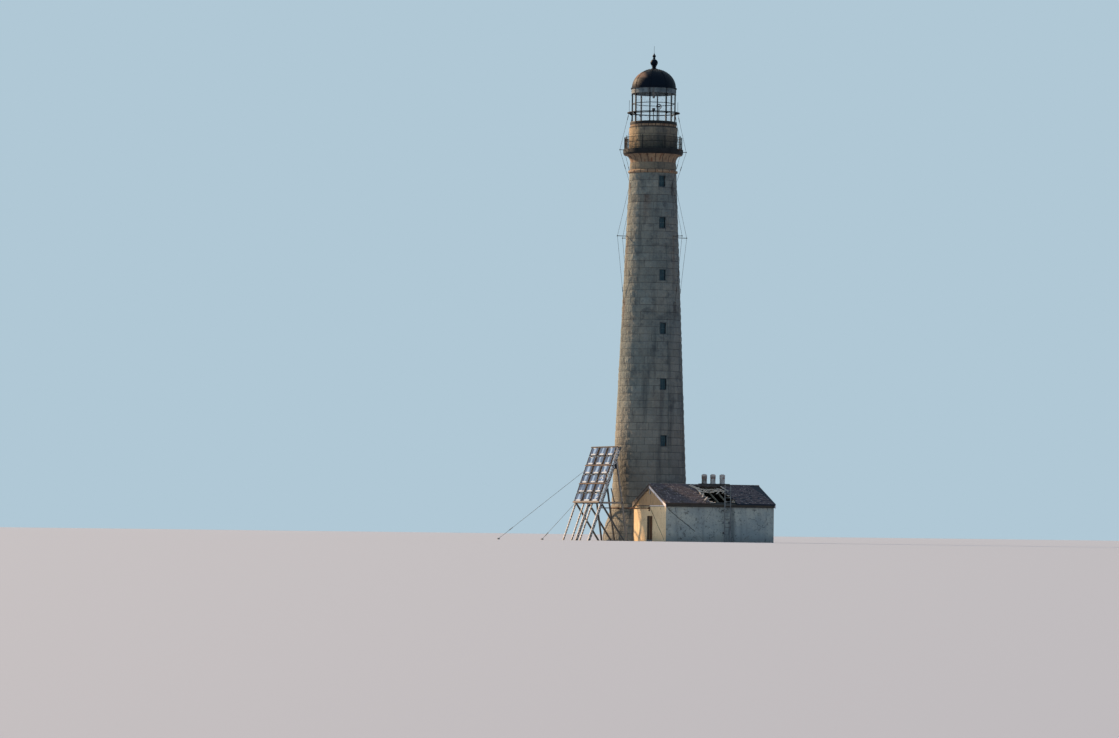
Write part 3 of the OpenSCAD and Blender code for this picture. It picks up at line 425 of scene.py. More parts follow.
grimy_glass = Finish("grimy_glass", IOR=1.5, Specular_IOR_Level=0.35)
dust = grimy_glass.noise(9, 5)
glass_colour = grimy_glass.blend(grimy_glass.fade(dust, 0.45, 0.75), tint(22, 62, 72), tint(52, 92, 98))
grimy_glass.feed(Base_Color=glass_colour, Roughness=0.25 + dust * 0.3)
grimy_glass.coat("window_glass")


# Gallery: a belt course, a plain neck and a curved corbel, all of dressed granite, carry the
# iron deck. The neck is a ring of blocks; the belt and corbel show their upright joints.
pale_granite = granite_finish("dressed_granite", tint(136, 124, 102), tint(114, 108, 92))
neck_blocks = block_mesh()
lay_course(neck_blocks, 15.380, 15.672, 0.945, 0.945, 0.1, [], 0.42)
fix(neck_blocks, "neck_blocks", pale_granite)

corbel_stone = Finish("corbel_granite", Roughness=0.9)
grit = corbel_stone.noise(40, 5)
turn = corbel_stone.node("Math", {"operation": "ARCTAN2"}, {0: corbel_stone.y, 1: corbel_stone.x})
seam = corbel_stone.fade(abs((turn * (20 / (2 * math.pi))) % 1 - 0.5), 0.43, 0.465)
cloud = corbel_stone.fade(corbel_stone.noise(1.4, 4), 0.4, 0.65)
colour = corbel_stone.blend(cloud, tint(138, 118, 94), tint(164, 138, 108))
colour = corbel_stone.shade(colour, 0.75 + grit * 0.5)
# Painted shade under the deck: the top of the corbel is darker, more so where the stains run.
cove = corbel_stone.fade(corbel_stone.z, 15.62, 15.78)
stain = corbel_stone.noise(8, 4, (1, 1, 0.12), 3)
shade_and_stain_under_deck = cove * (0.15 + corbel_stone.fade(stain, 0.45, 0.65) * 0.5)
colour = corbel_stone.blend(shade_and_stain_under_deck, colour, tint(72, 56, 44))
colour = corbel_stone.blend(corbel_stone.fade(stain, 0.56, 0.68) * 0.75, colour, tint(116, 62, 34))
under_sill = corbel_stone.fade(abs(corbel_stone.z - 17.152), 0.022, 0.012)
colour = corbel_stone.blend((seam * 0.85).or_(under_sill * 0.9), colour, tint(34, 32, 30))
corbel_stone.feed(Base_Color=colour).relief(grit + corbel_stone.noise(8, 5, shift=8), 0.02)
corbel_stone.coat("gallery_corbel")

deck_iron = iron_finish("deck_iron_paint", tint(9, 13, 17), 0.03, 0.7, tint(19, 23, 26))
deck_iron.coat("gallery_deck", "gallery_railing", "gallery_posts", "lantern_floor")


def around(angle, radius, z):
    """A point at a height, out from the tower's axis at an angle."""
    return Vector((math.cos(angle), math.sin(angle), 0)) * radius + Vector((0, 0, z))


def bead(mesh, place, radius, subdivisions=1):
    """A small round head, such as a rivet's."""
    bmesh.ops.create_icosphere(mesh, subdivisions=subdivisions, radius=radius,
                               matrix=Matrix.Translation(place))


deck_plates = bmesh.new()
plate_count = 16
deck_edge = 1.247
for k in range(plate_count):
    angle = 2 * math.pi * (k + 0.5) / plate_count
    bar(deck_plates, around(angle, deck_edge, 16.075), around(angle, deck_edge, 16.222), 0.050, 0.010,
        around(angle, 1, 0))
    for z in (16.10, 16.20):
        tube(deck_plates, around(angle, 1.25, z), around(angle, 1.262, z), 0.009, 6)
fix(deck_plates, "deck_edge_straps", deck_iron)

rail_trim = bmesh.new()
rail_r, deck_top, rail_h = 1.2, 16.225, 0.525
for k in range(8):
    angle = 2 * math.pi * k / 8
    tube(rail_trim, around(angle, rail_r, deck_top), around(angle, rail_r, deck_top + 0.020), 0.026, 10)
    knob = Matrix.Translation(around(angle, rail_r, deck_top + rail_h + 0.012))
    bmesh.ops.create_uvsphere(rail_trim, u_segments=10, v_segments=6, radius=0.019, matrix=knob)
fix(rail_trim, "railing_finials", deck_iron)


# Watch room: three courses of dressed granite blocks round the plain wall, with the iron
# gallery door in the gap at the back, and the granite sill that the lantern stands on.
watch_blocks = block_mesh()
watch_low, watch_course, watch_r = 16.227, 0.3073, 0.995
gallery_door_hole = (1, 0.13, 16.2, 17.005)
for k in range(3):
    low = watch_low + watch_course * k
    lay_course(watch_blocks, low, low + watch_course, watch_r, watch_r, 0.2 * (k % 2), [gallery_door_hole],
               0.40)
fix(watch_blocks, "watch_room_blocks", pale_granite)
plain_granite.coat("watch_room_wall")
corbel_stone.coat("lantern_sill")
deck_iron.coat("gallery_door")
sill_top = 17.325
flashing = bmesh.new()
edge_profile = [(0.930, 0.002), (0.962, 0.002), (0.962, -0.068), (0.974, -0.068), (0.974, 0.020),
                (0.960, 0.050), (0.930, 0.056), (0.930, 0.002)]


def turned(mesh, profiles, steps):
    """Turns profiles of (radius, height) points round the tower's axis."""
    for profile in profiles:
        points = [mesh.verts.new((radius, 0, z)) for radius, z in profile]
        edges = [mesh.edges.new(pair) for pair in zip(points, points[1:])]
        bmesh.ops.spin(mesh, geom=points + edges, cent=(0, 0, 0), axis=(0, 0, 1), angle=2 * math.pi,
                       steps=steps, use_merge=True)
    bmesh.ops.remove_doubles(mesh, verts=mesh.verts[:], dist=1e-5)
    bmesh.ops.recalc_face_normals(mesh, faces=mesh.faces[:])


turned(flashing, [[(radius, sill_top + rise) for radius, rise in edge_profile]], 72)
fix(flashing, "sill_flashing", deck_iron)
door_straps = bmesh.new()
for z in (16.40, 16.62, 16.84):
    slab(door_straps, (-0.115, 0.925, z - 0.012), (0.115, 0.933, z + 0.012))
    for x in (-0.10, 0, 0.10):
        tube(door_straps, (x, 0.931, z), (x, 0.939, z), 0.006, 6)
bar(door_straps, (0.08, 0.925, 16.70), (0.08, 0.945, 16.70), 0.016, 0.06)
fix(door_straps, "gallery_door_straps", deck_iron)


# Lantern: eight cast posts with two tiers of glazing bars between them, plate glass, and an iron
# frieze under the dome's lip. Upright bars stand in front of the glass and bolts run round the frieze.
lantern_iron = iron_finish("lantern_iron_paint", tint(13, 15, 17), 0.06, 0.7, tint(28, 30, 32))
lantern_iron.coat("lantern_posts", "lantern_bars")
deck_iron.coat("lantern_walkway", "spare_lamp", "beacon")
frieze_iron = Finish("frieze_paint", Metallic=0.0)
wear = frieze_iron.noise(4, 5)
fine = frieze_iron.noise(26, 5, shift=5)
runs = frieze_iron.noise(10, 4, (1, 1, 0.1), 7)
colour = frieze_iron.blend(frieze_iron.fade(wear, 0.4, 0.62), tint(104, 116, 118), tint(76, 88, 92))
colour = frieze_iron.blend(frieze_iron.fade(runs, 0.54, 0.68) * 0.7, colour, tint(58, 50, 44))
frieze_iron.feed(Base_Color=frieze_iron.shade(colour, 0.75 + fine * 0.5), Roughness=0.55 + wear * 0.3)
frieze_iron.relief(fine, 0.004)
frieze_iron.coat("lantern_frieze")

lantern_glass = Finish("lantern_plate_glass", IOR=1.5, Specular_IOR_Level=0.3)
salt = lantern_glass.noise(6, 5, shift=2)
film = lantern_glass.fade(salt, 0.42, 0.8)
lantern_glass.feed(Base_Color=lantern_glass.blend(film, tint(186, 208, 216), tint(214, 214, 206)),
                   Roughness=0.05 + film * 0.3, Alpha=0.03 + film * 0.10)
lantern_glass.coat("lantern_glass")

lantern_phase = math.radians(11.5)
corners = [lantern_phase - math.pi / 2 + math.pi / 4 * k for k in range(8)]
lantern_trim = bmesh.new()
post_r = 0.93
for a in corners:
    out = around(a, 1, 0)
    across = Vector((-out.y, out.x, 0)) * 0.038
    tube(lantern_trim, around(a, post_r, 17.345), around(a, post_r, 17.36), 0.03, 8)
    for z in (17.36, 18.50):
        bar(lantern_trim, around(a, post_r, z) - across, around(a, post_r, z) + across, 0.03, 0.012)
    bar(lantern_trim, around(a, 0.926, 18.545), around(a, 0.926, 18.748), 0.034, 0.018, out)
    for share in (-0.36, -0.12, 0.12, 0.36):
        b = a + math.pi / 4 * share
        tube(lantern_trim, around(b, 0.925, 18.65), around(b, 0.925 * 1.011, 18.65), 0.011, 6)
fix(lantern_trim, "lantern_post_shoes", lantern_iron)


# Dome: eight riveted iron sheets under raised ribs, with a rolled gutter lip, the ventilator ball
# and its rod on top, and the vent pipe below. The paint has weathered off in a coppery patch on the
# upper left, which is also a painted highlight; a grey painted highlight rings the crown, and a
# paler painted band of light runs down the left side.
dome_iron = Finish("dome_sheet_paint", Metallic=0.0, Specular_IOR_Level=0.08)
wear = dome_iron.noise(2.2, 5, shift=6)
fine = dome_iron.noise(22, 5)
west = (dome_iron.fade(dome_iron.x * -0.85 + dome_iron.y * 0.10, 0.36, 0.52)
        * dome_iron.fade(dome_iron.y, 0.55, 0.20))
shoulder = dome_iron.fade(dome_iron.z, 19.12, 19.24) * dome_iron.fade(dome_iron.z, 19.54, 19.42)
# Partly worn paint and partly a painted highlight: a coppery patch on the upper left shoulder.
bare = dome_iron.fade(wear, 0.36, 0.50) * west * shoulder
# Painted highlight: grey specks ringing the crown below the ball.
painted_crown_highlight = dome_iron.fade(dome_iron.z, 19.40, 19.54) * dome_iron.fade(dome_iron.z, 19.63, 19.60)
painted_crown_highlight = painted_crown_highlight * dome_iron.fade(dome_iron.noise(9, 5, shift=3), 0.46, 0.60) * 0.6
# Painted light: a paler grey band down the dome's left side.
painted_lit_left_band = (dome_iron.fade(dome_iron.x * -0.9 + dome_iron.y * 0.3, 0.45, 0.85)
          * dome_iron.fade(dome_iron.z, 18.85, 18.92) * dome_iron.fade(dome_iron.z, 19.60, 19.55))
colour = dome_iron.blend(dome_iron.fade(fine, 0.3, 0.7), tint(3, 14, 26), tint(8, 20, 34))
colour = dome_iron.blend(painted_lit_left_band * 0.45, colour, tint(60, 57, 54))
colour = dome_iron.blend(painted_crown_highlight, colour, tint(120, 116, 108))
primer_and_glint = dome_iron.blend(dome_iron.fade(fine, 0.4, 0.6), tint(140, 108, 88), tint(112, 104, 96))
colour = dome_iron.blend(bare * 0.9, colour, primer_and_glint)
dome_iron.feed(Base_Color=colour, Roughness=0.55 + bare * 0.3).relief(fine + wear, 0.006)
dome_iron.coat("dome", "ventilator_ball")
dome_ribs = bmesh.new()
dome_z, dome_r, dome_h = 18.795, 0.915, 0.800
for a in corners:
    path = []
    for step in range(0, 86, 5):
        t = math.radians(step)
        path.append(around(a, dome_r * math.cos(t), dome_z + dome_h * math.sin(t)))
    for start, end in zip(path, path[1:]):
        bar(dome_ribs, start, end + (end - start) * 0.02, 0.034, 0.022)
    for point in path[1:-1:2]:
        bead(dome_ribs, point * 1.0006 + Vector((0, 0, 0.008)), 0.010)
fix(dome_ribs, "dome_ribs", dome_iron)
lamp_fittings = bmesh.new()
lamp_x, lamp_y, lamp_z = 0.202, -0.088, 18.035
tube(lamp_fittings, (lamp_x, lamp_y, 17.29), (lamp_x, lamp_y, lamp_z - 0.10), 0.020, 10)
tube(lamp_fittings, (lamp_x, lamp_y - 0.035, lamp_z), (lamp_x, lamp_y + 0.035, lamp_z), 0.040, 14)
for k in range(20):
    a, b = math.pi * (k / 20 * 1.5 - 0.35), math.pi * ((k + 1) / 20 * 1.5 - 0.35)
    tube(lamp_fittings, (lamp_x + 0.105 * math.cos(a), lamp_y, lamp_z + 0.105 * math.sin(a)),
         (lamp_x + 0.105 * math.cos(b), lamp_y, lamp_z + 0.105 * math.sin(b)), 0.014, 8)
tube(lamp_fittings, (0, 0, 17.86), (0, 0, 17.97), 0.062, 16)
tube(lamp_fittings, (0, 0, 17.29), (0, 0, 17.86), 0.018, 10)
fix(lamp_fittings, "lamp_fittings", deck_iron)
skirt = [(0.062, 19.580), (0.120, 19.590), (0.126, 19.604), (0.100, 19.620), (0.074, 19.640), (0.072, 19.662),
         (0.104, 19.676), (0.108, 19.690), (0.086, 19.704), (0.082, 19.716), (0.118, 19.752), (0.126, 19.764),
         (0.062, 19.764)]
knob_ring = [(0.030, 20.020), (0.066, 20.030), (0.070, 20.040), (0.030, 20.052), (0.030, 20.020)]
ventilator = bmesh.new()
turned(ventilator, [skirt, knob_ring], 40)
fix(ventilator, "ventilator_mouldings", dome_iron)


def galvanised_finish(name, zinc, rusting):
    """Zinc-coated steel with a faint spangle that dulls, and rust where the coat has gone."""
    steel = Finish(name, Metallic=0.35)
    spangle = steel.node("TexVoronoi", None, {"Vector": steel.place, "Scale": 55.0}, "Color")
    grey = steel.node("SeparateColor", None, {0: spangle})
    wide = steel.noise(2.4, 5)
    fine = steel.noise(24, 4, shift=6)
    zinc = steel.blend(steel.fade(wide, 0.35, 0.7), zinc, tint(96, 96, 92))
    colour = steel.shade(zinc, 0.82 + grey * 0.2 + fine * 0.14)
    rust = steel.fade(wide + fine * 0.4, 0.98 - rusting, 1.1 - rusting)
    colour = steel.blend(rust * 0.85, colour, tint(108, 66, 42))
    steel.feed(Base_Color=colour, Roughness=0.5 + rust * 0.4)
    return steel.relief(fine + rust, 0.003)


galvanised = galvanised_finish("galvanised_steel_dull", tint(142, 142, 138), 0.18)
galvanised.coat("vent_pipe")


# Stays: four iron wires from the lantern walkway over the arms of the deck and the shaft, each
# held by an eye. Turnbuckles tighten them near the ends and rust blackens the arms.
stay_iron = iron_finish("stay_iron", tint(16, 15, 16), 0.28, 0.7, tint(20, 20, 22))
stay_iron.coat("stay_outriggers", "stay_wires")
green_copper = iron_finish("green_copper_rod", tint(34, 62, 62), 0.0, 0.7, tint(48, 76, 74))
green_copper.coat("lightning_conductor")
stay_angles = [math.radians(a) for a in (-93, 30, 87, -150)]
stay_points = [(1.083, 17.741), (1.470, 16.180), (1.0105, 14.787), (1.535, 12.608), (1.2189, 9.841)]
turnbuckles = bmesh.new()
for a in stay_angles:
    out = Vector((math.sin(a), -math.cos(a), 0))
    line = [out * r + Vector((0, 0, z)) for r, z in stay_points]
    for start, end, share in ((line[0], line[1], 0.14), (line[3], line[4], 0.8), (line[1], line[2], 0.5)):
        centre = start.lerp(end, share)
        along = (end - start).normalized()
        tube(turnbuckles, centre - along * 0.075, centre + along * 0.075, 0.013, 8)
        for end_side in (-1, 1):
            bead(turnbuckles, centre + along * 0.08 * end_side, 0.018)
    for point in line[1:4:2]:
        bead(turnbuckles, point, 0.026, 2)
fix(turnbuckles, "stay_turnbuckles", stay_iron)


# House walls: rubble masonry under painted stucco. The gable ends keep their cream paint, made warmer
# and brighter as painted sunlight; the long walls are greyer, and all are cracked, blotched and
# streaked by rain from the eaves. Painted shadow darkens the wall heads under the eaves, the
# doorway's reveal and the long wall by the ladder.
house_x, house_x1, ridge_y, wall_h, ridge_z = -1.300, 3.500, -3.075, 1.425, 2.340
stucco = Finish("cracked_stucco", Roughness=0.93)
cloud = stucco.noise(1.3, 5)
fine = stucco.noise(28, 5, shift=2)
blots = stucco.noise(6, 5, shift=8)
runs = stucco.noise(5, 4, (1, 1, 0.09), 4)
house_half, house_mid = (house_x1 - house_x) / 2, (house_x1 + house_x) / 2
gable_face = stucco.fade(abs(stucco.x - house_mid), house_half - 0.008, house_half - 0.003)
painted_reveal_shade = (abs(stucco.y - ridge_y) < 0.29) * (stucco.x > house_x + 0.006) * (stucco.x < house_x + 0.175)
# Painted light: the gable ends' cream, dirt and rain marks are warmer and brighter, standing in for sunlight.
paint = stucco.blend(gable_face, tint(196, 195, 174), tint(242, 214, 168))
second_paint = stucco.blend(gable_face, tint(166, 170, 158), tint(230, 200, 154))
colour = stucco.blend(stucco.fade(cloud, 0.35, 0.65), paint, second_paint)
colour = stucco.shade(colour, 0.84 + fine * 0.32)
dirt = stucco.blend(gable_face, tint(100, 98, 88), tint(200, 168, 126))
colour = stucco.blend(stucco.fade(blots, 0.58, 0.70) * 0.75, colour, dirt)
specks = stucco.noise(13, 4, shift=27)
colour = stucco.blend(stucco.fade(specks, 0.57, 0.66) * 0.55, colour, dirt)
rain = stucco.blend(gable_face, tint(120, 120, 112), tint(208, 178, 136))
colour = stucco.blend(stucco.fade(runs, 0.48, 0.74) * 0.4, colour, rain)
# Painted shadow of the ladder: darker streaks on the long wall beside it.
painted_ladder_shadow = stucco.fade(stucco.noise(7, 4, (1, 1, 0.15), 9), 0.36, 0.6)
painted_ladder_shadow = painted_ladder_shadow * stucco.fade(abs(stucco.x - 1.57), 0.30, 0.10)
colour = stucco.blend(painted_ladder_shadow * (1 - gable_face) * 0.6, colour, tint(88, 92, 88))
splash = stucco.fade(stucco.z + (cloud - 0.5) * 0.5, 0.42, 0.05)
colour = stucco.blend(splash * 0.4, colour, dirt)
swirl = stucco.node("TexNoise", None, {"Vector": stucco.place, "Scale": 2.2}, "Color")
bend = stucco.node("VectorMath", {"operation": "ADD"}, {0: stucco.place, 1: swirl})
cells = stucco.node("TexVoronoi", {"feature": "DISTANCE_TO_EDGE"}, {"Vector": bend, "Scale": 0.85})
crack = stucco.fade(cells, 0.010, 0.004) * (1 - gable_face * 0.7)
crack = crack * stucco.fade(stucco.noise(0.9, 3, shift=17), 0.48, 0.56)


def crack_line(across, start, end, half):
    """A crooked crack on a wall between two places (across, up)."""
    start, end = Vector(start), Vector(end)
    length, along = (end - start).length, (end - start).normalized()
    beside = (stucco.z - start.y) * along.x - (across - start.x) * along.y
    onward = (across - start.x) * along.x + (stucco.z - start.y) * along.y
    crooked = abs(beside + (stucco.noise(5, 4, shift=31) - 0.5) * 0.10)
    return stucco.fade(crooked, half * 1.6, half * 0.6) * (onward > 0) * (onward < length)


gable_crack = crack_line(stucco.y, (-3.17, 1.31), (-4.52, 0.08), 0.016)
gable_crack = gable_crack * (stucco.x < house_mid) * gable_face
wall_crack = crack_line(stucco.x, (-1.20, 1.30), (0.00, 0.42), 0.014)
wall_crack = wall_crack * (1 - gable_face) * (stucco.y < ridge_y)
crack = crack.or_(gable_crack).or_(wall_crack)
colour = stucco.blend(crack * 0.8, colour, tint(48, 46, 44))
# Painted shade: the doorway's reveal is dark brown.
colour = stucco.blend(painted_reveal_shade * 0.9, colour, tint(70, 50, 38))
# Painted shadow: a dark band along the top of the walls under the eaves.
painted_eave_shadow = stucco.fade(stucco.z, wall_h - 0.020, wall_h - 0.008)
colour = stucco.blend(painted_eave_shadow, colour, tint(40, 38, 36))
stucco.feed(Base_Color=colour).relief(fine * 0.5 + blots - crack * 1.5, 0.005)
stucco.coat("door_wall_back", "door_wall_front", "door_wall_over", "house_end_wall", "house_front_wall",
            "house_back_wall_left", "house_back_wall_right")
concrete = Finish("worn_concrete", Roughness=0.95)
fine = concrete.noise(40, 5)
wide = concrete.noise(2, 5, shift=3)
worn = concrete.blend(wide, tint(128, 124, 116), tint(96, 92, 86))
concrete.feed(Base_Color=concrete.shade(worn, 0.8 + fine * 0.4)).relief(fine + wide, 0.01)
concrete.coat("tower_floor", "house_floor")


# Gables: upright boards over the masonry on both ends, weathered bare, with a slatted vent in a
# white frame. The rake boards are painted white, made bright and warm at the front as painted
# sunlight and dark brown at the back as painted shade.
def wood_finish(name, first, second, grain_axis, knots=0.5, knot=tint(58, 50, 42)):
    """Weathered timber; grain_axis is 0, 1 or 2 for the way the grain runs."""
    wood = Finish(name, Roughness=0.85)
    stretch = [14.0, 14.0, 14.0]
    stretch[grain_axis] = 0.7
    grain = wood.noise(3, 6, tuple(stretch))
    wide = wood.noise(3, 4, shift=6)
    colour = wood.blend(wood.fade(grain, 0.35, 0.65), first, second)
    colour = wood.shade(colour, 0.72 + wide * 0.56)
    colour = wood.blend(wood.fade(wide, 0.6, 0.75) * knots, colour, knot)
    wood.feed(Base_Color=colour)
    return wood.relief(grain, 0.004)


gable_wood = wood_finish("gable_boards_bare", tint(206, 170, 126), tint(168, 134, 96), 2, 0.45,
                         tint(132, 92, 62))
gable_wood.coat("gable_boards")
pitch = math.atan2(0.778, 1.700)
under_drop = 0.060 / math.cos(pitch)


def roof_top(y):
    return ridge_z - abs(y - ridge_y) * math.tan(pitch)


gable_cladding = bmesh.new()
board_w = 0.088
for face_x, out in ((house_x, -1), (house_x1, 1)):
    y = ridge_y - 1.60
    while y < ridge_y + 1.60:
        high = roof_top(y + board_w / 2) - under_drop - 0.112
        low = wall_h + 0.037
        if high > low + 0.03:
            spans = [(low, high)]
            if abs(y + board_w / 2 - ridge_y) < 0.09 + board_w / 2:
                spans = [(low, 1.912), (2.198, high)]
            for from_z, to_z in spans:
                if to_z > from_z + 0.02:
                    depth = 0.010 + 0.004 * chance.random()
                    corners_x = sorted((face_x, face_x + out * depth))
                    slab(gable_cladding, (corners_x[0], y + 0.003, from_z),
                         (corners_x[1], y + board_w - 0.003, to_z))
        y += board_w
fix(gable_cladding, "gable_cladding", gable_wood)


def chipped_paint(name, front, back, front_share):
    """Old paint of two shades, flaked down to the wood; front_share turns the finish's y into 0 or 1."""
    paint = Finish(name)
    flakes = paint.noise(11, 6)
    wide = paint.noise(2.2, 4, shift=5)
    fresh = paint.blend(front_share(paint), back, front)
    colour = paint.blend(paint.fade(flakes + wide * 0.5, 0.80, 0.94), fresh, tint(112, 96, 80))
    return paint.feed(Base_Color=colour, Roughness=0.5 + flakes * 0.3).relief(flakes, 0.004)


# Painted light and shade: the front rake boards are a bright warm white as lit, those at the back dark brown
# as shaded.
rake_paint = chipped_paint("rake_board_paint", tint(250, 234, 224), tint(92, 80, 68),
                           lambda paint: paint.fade(paint.y, ridge_y + 0.02, ridge_y - 0.02))
rake_paint.coat("bargeboards")
vent_paint = chipped_paint("vent_paint", tint(240, 230, 218), tint(54, 44, 38),
                           lambda paint: paint.fade(abs(paint.y - ridge_y), 0.052, 0.058))
vent_paint.coat("gable_vents")
frame_paint = wood_finish("door_frame_paint", tint(150, 126, 96), tint(116, 94, 70), 2)
frame_paint.coat("door_frame")


# Roof: worn maroon shingles nailed in rows on boards, over rafters and a ridge beam. The front
# slope has a torn hole with snapped laths round it. Each shingle is a thin wedge of its own tone.
shingle = Finish("worn_shingles", Roughness=0.92)
fine = shingle.noise(36, 5)
wide = shingle.noise(1.6, 5, shift=4)
painted_sunlit_specks = shingle.noise(13, 4, shift=9)
colour = shingle.blend(shingle.fade(wide, 0.35, 0.65), tint(102, 88, 86), tint(94, 84, 84))
colour = shingle.shade(colour, shingle.mark("tone") * (0.76 + fine * 0.48))
# Painted light: pale specks where the sun catches the shingles' butts.
colour = shingle.blend(shingle.fade(painted_sunlit_specks, 0.59, 0.65) * 0.9, colour, tint(196, 182, 170))
streaks = shingle.noise(4, 4, (1, 0.14, 0.14), 12)
colour = shingle.blend(shingle.fade(streaks, 0.60, 0.70) * 0.2, colour, tint(130, 108, 100))
shingle.feed(Base_Color=colour).relief(fine + painted_sunlit_specks * 0.6, 0.006)
sheathing = wood_finish("roof_boards", tint(86, 72, 62), tint(60, 50, 44), 0)
tarred = wood_finish("tarred_roof_boards", tint(38, 44, 56), tint(26, 32, 44), 0, 0.2, tint(20, 24, 34))
sheathing.coat("roof_front_left", "roof_ridge_strip", "roof_back")
tarred.coat("roof_front_right")
bare_timber = wood_finish("bare_timber", tint(150, 140, 118), tint(112, 102, 84), 1)
bare_timber.coat("roof_timbers")
eave_wood = wood_finish("eave_boards", tint(76, 66, 52), tint(52, 46, 38), 0)
eave_wood.coat("eave_boxes")
curb_wood = wood_finish("curb_boards", tint(84, 80, 74), tint(58, 56, 52), 0)
curb_wood.coat("vent_curb")

roof_len = 1.700 / math.cos(pitch)
hole_x, hole_x1, strip = 0.560, 1.800, 0.200
left_tear = [(0.3, 0.22), (-0.4, 0.33), (0.25, 0.44), (-0.1, 0.55), (0.6, 0.66), (0.2, 0.77), (0.9, 0.88),
             (0.7, 1)]
right_tear = [(-0.5, 0.2), (0.3, 0.31), (-0.3, 0.42), (0.5, 0.56), (0.1, 0.68), (0.6, 0.8), (0.2, 0.9),
              (0.4, 1)]
strip_tear = [(0, 0), (0.1, 0.7), (0.22, 0.1), (0.36, 0.5), (0.5, -0.3), (0.66, 0.3), (0.78, -0.2),
              (0.9, 0.5), (1, 0)]


def along_line(points, at):
    """The value of a broken line at a place along it."""
    for (a, va), (b, vb) in zip(points, points[1:]):
        if a <= at <= b:
            return va + (vb - va) * (at - a) / (b - a)
    return points[0][1] if at < points[0][0] else points[-1][1]


left_edge = [(0.0, hole_x), (strip, hole_x)] + [(roof_len * s, hole_x + 0.11 * t) for t, s in left_tear]
right_edge = [(0.0, hole_x1), (strip, hole_x1)] + [(roof_len * s, hole_x1 + 0.11 * t) for t, s in right_tear]
strip_edge = [(hole_x + 1.24 * s, strip - 0.11 * t) for s, t in strip_tear]


def slope_place(side, x, down, lift):
    """A point on a roof slope: side -1 is the front, down is from the ridge along the slope."""
    y = ridge_y + side * (down * math.cos(pitch) + lift * math.sin(pitch))
    return Vector((x, y, ridge_z - down * math.sin(pitch) + lift * math.cos(pitch)))


def lay_shingle(mesh, side, x0, x1, down, tones):
    """One wedge shingle: its butt lies lowest down the slope and thickest."""
    butt, head, thick = min(down + 0.088, roof_len), down, 0.008 + 0.004 * chance.random()
    made = bmesh.ops.create_cube(mesh, size=1)["verts"]
    for vert in made:
        x = x0 if vert.co.x < 0 else x1
        if vert.co.y < 0:
            vert.co = slope_place(side, x, butt, thick if vert.co.z > 0 else 0.0005)
        else:
            vert.co = slope_place(side, x, head, 0.002 if vert.co.z > 0 else 0.0005)
    if side > 0:
        bmesh.ops.reverse_faces(mesh, faces=parts_of(made, "link_faces"))
    shade = min(1.35, max(0.6, chance.gauss(1.0, 0.12)))
    for face in parts_of(made, "link_faces"):
        face[tones] = shade


shingles = bmesh.new()
tones = shingles.faces.layers.float.new("tone")
row_h, tab_w = 0.074, 0.152
roof_x0, roof_x1 = house_x - 0.050, house_x1 + 0.050
rows = int(roof_len / row_h)
for side in (-1, 1):
    for row in range(rows + 1):
        down = row * row_h
        if down > roof_len - 0.02:
            break
        x = roof_x0 - tab_w * (0.5 if row % 2 else 0.0) - 0.03 * chance.random()
        while x < roof_x1:
            width = tab_w * (0.85 + 0.3 * chance.random())
            spans = [(max(x, roof_x0), min(x + width - 0.004, roof_x1))]
            if side < 0:
                butt = min(down + 0.088, roof_len)
                left = min(along_line(left_edge, down), along_line(left_edge, butt))
                right = max(along_line(right_edge, down), along_line(right_edge, butt))
                a, b = spans[0]
                torn = min(along_line(strip_edge, a), along_line(strip_edge, b))
                in_strip = hole_x < (a + b) / 2 < hole_x1 and butt < torn
                if not in_strip:
                    spans = [(a, min(b, left - 0.01 * chance.random())), (max(a, right), b)]
                near_hole = abs(spans[0][1] - left) < 0.3 or abs(spans[-1][0] - right) < 0.25
                if near_hole and not in_strip and down > 0.1 and chance.random() < 0.16:
                    spans = []
                bare_x = roof_x1 - 0.06 - 0.40 * (1 - down / roof_len) ** 1.4
                spans = [(a, min(b, bare_x + 0.02 * chance.random())) for a, b in spans]
            for a, b in spans:
                if b - a > 0.03:
                    centre = slope_place(side, (a + b) / 2, down, 0)
                    if side < 0 or math.hypot(centre.x, centre.y) > face_radius(centre.z) + 0.06:
                        if chance.random() > 0.012:
                            lay_shingle(shingles, side, a, b, down, tones)
            x += width
fix(shingles, "roof_shingles", shingle)

ridge_cap = bmesh.new()
cap_tones = ridge_cap.faces.layers.float.new("tone")
x = roof_x0
while x < roof_x1 - 0.02:
    far = min(x + 0.15, roof_x1)
    for side in (-1, 1):
        made = bmesh.ops.create_cube(ridge_cap, size=1)["verts"]
        for vert in made:
            end_x, thick = (x, 0.014) if vert.co.x < 0 else (far + 0.012, 0.018)
            down = 0.0 if vert.co.y > 0 else 0.075
            vert.co = slope_place(side, end_x, down, thick if vert.co.z > 0 else 0.004)
        if side > 0:
            bmesh.ops.reverse_faces(ridge_cap, faces=parts_of(made, "link_faces"))
        for face in parts_of(made, "link_faces"):
            face[cap_tones] = 0.9 + 0.25 * chance.random()
    x += 0.15
fix(ridge_cap, "ridge_cap", shingle)

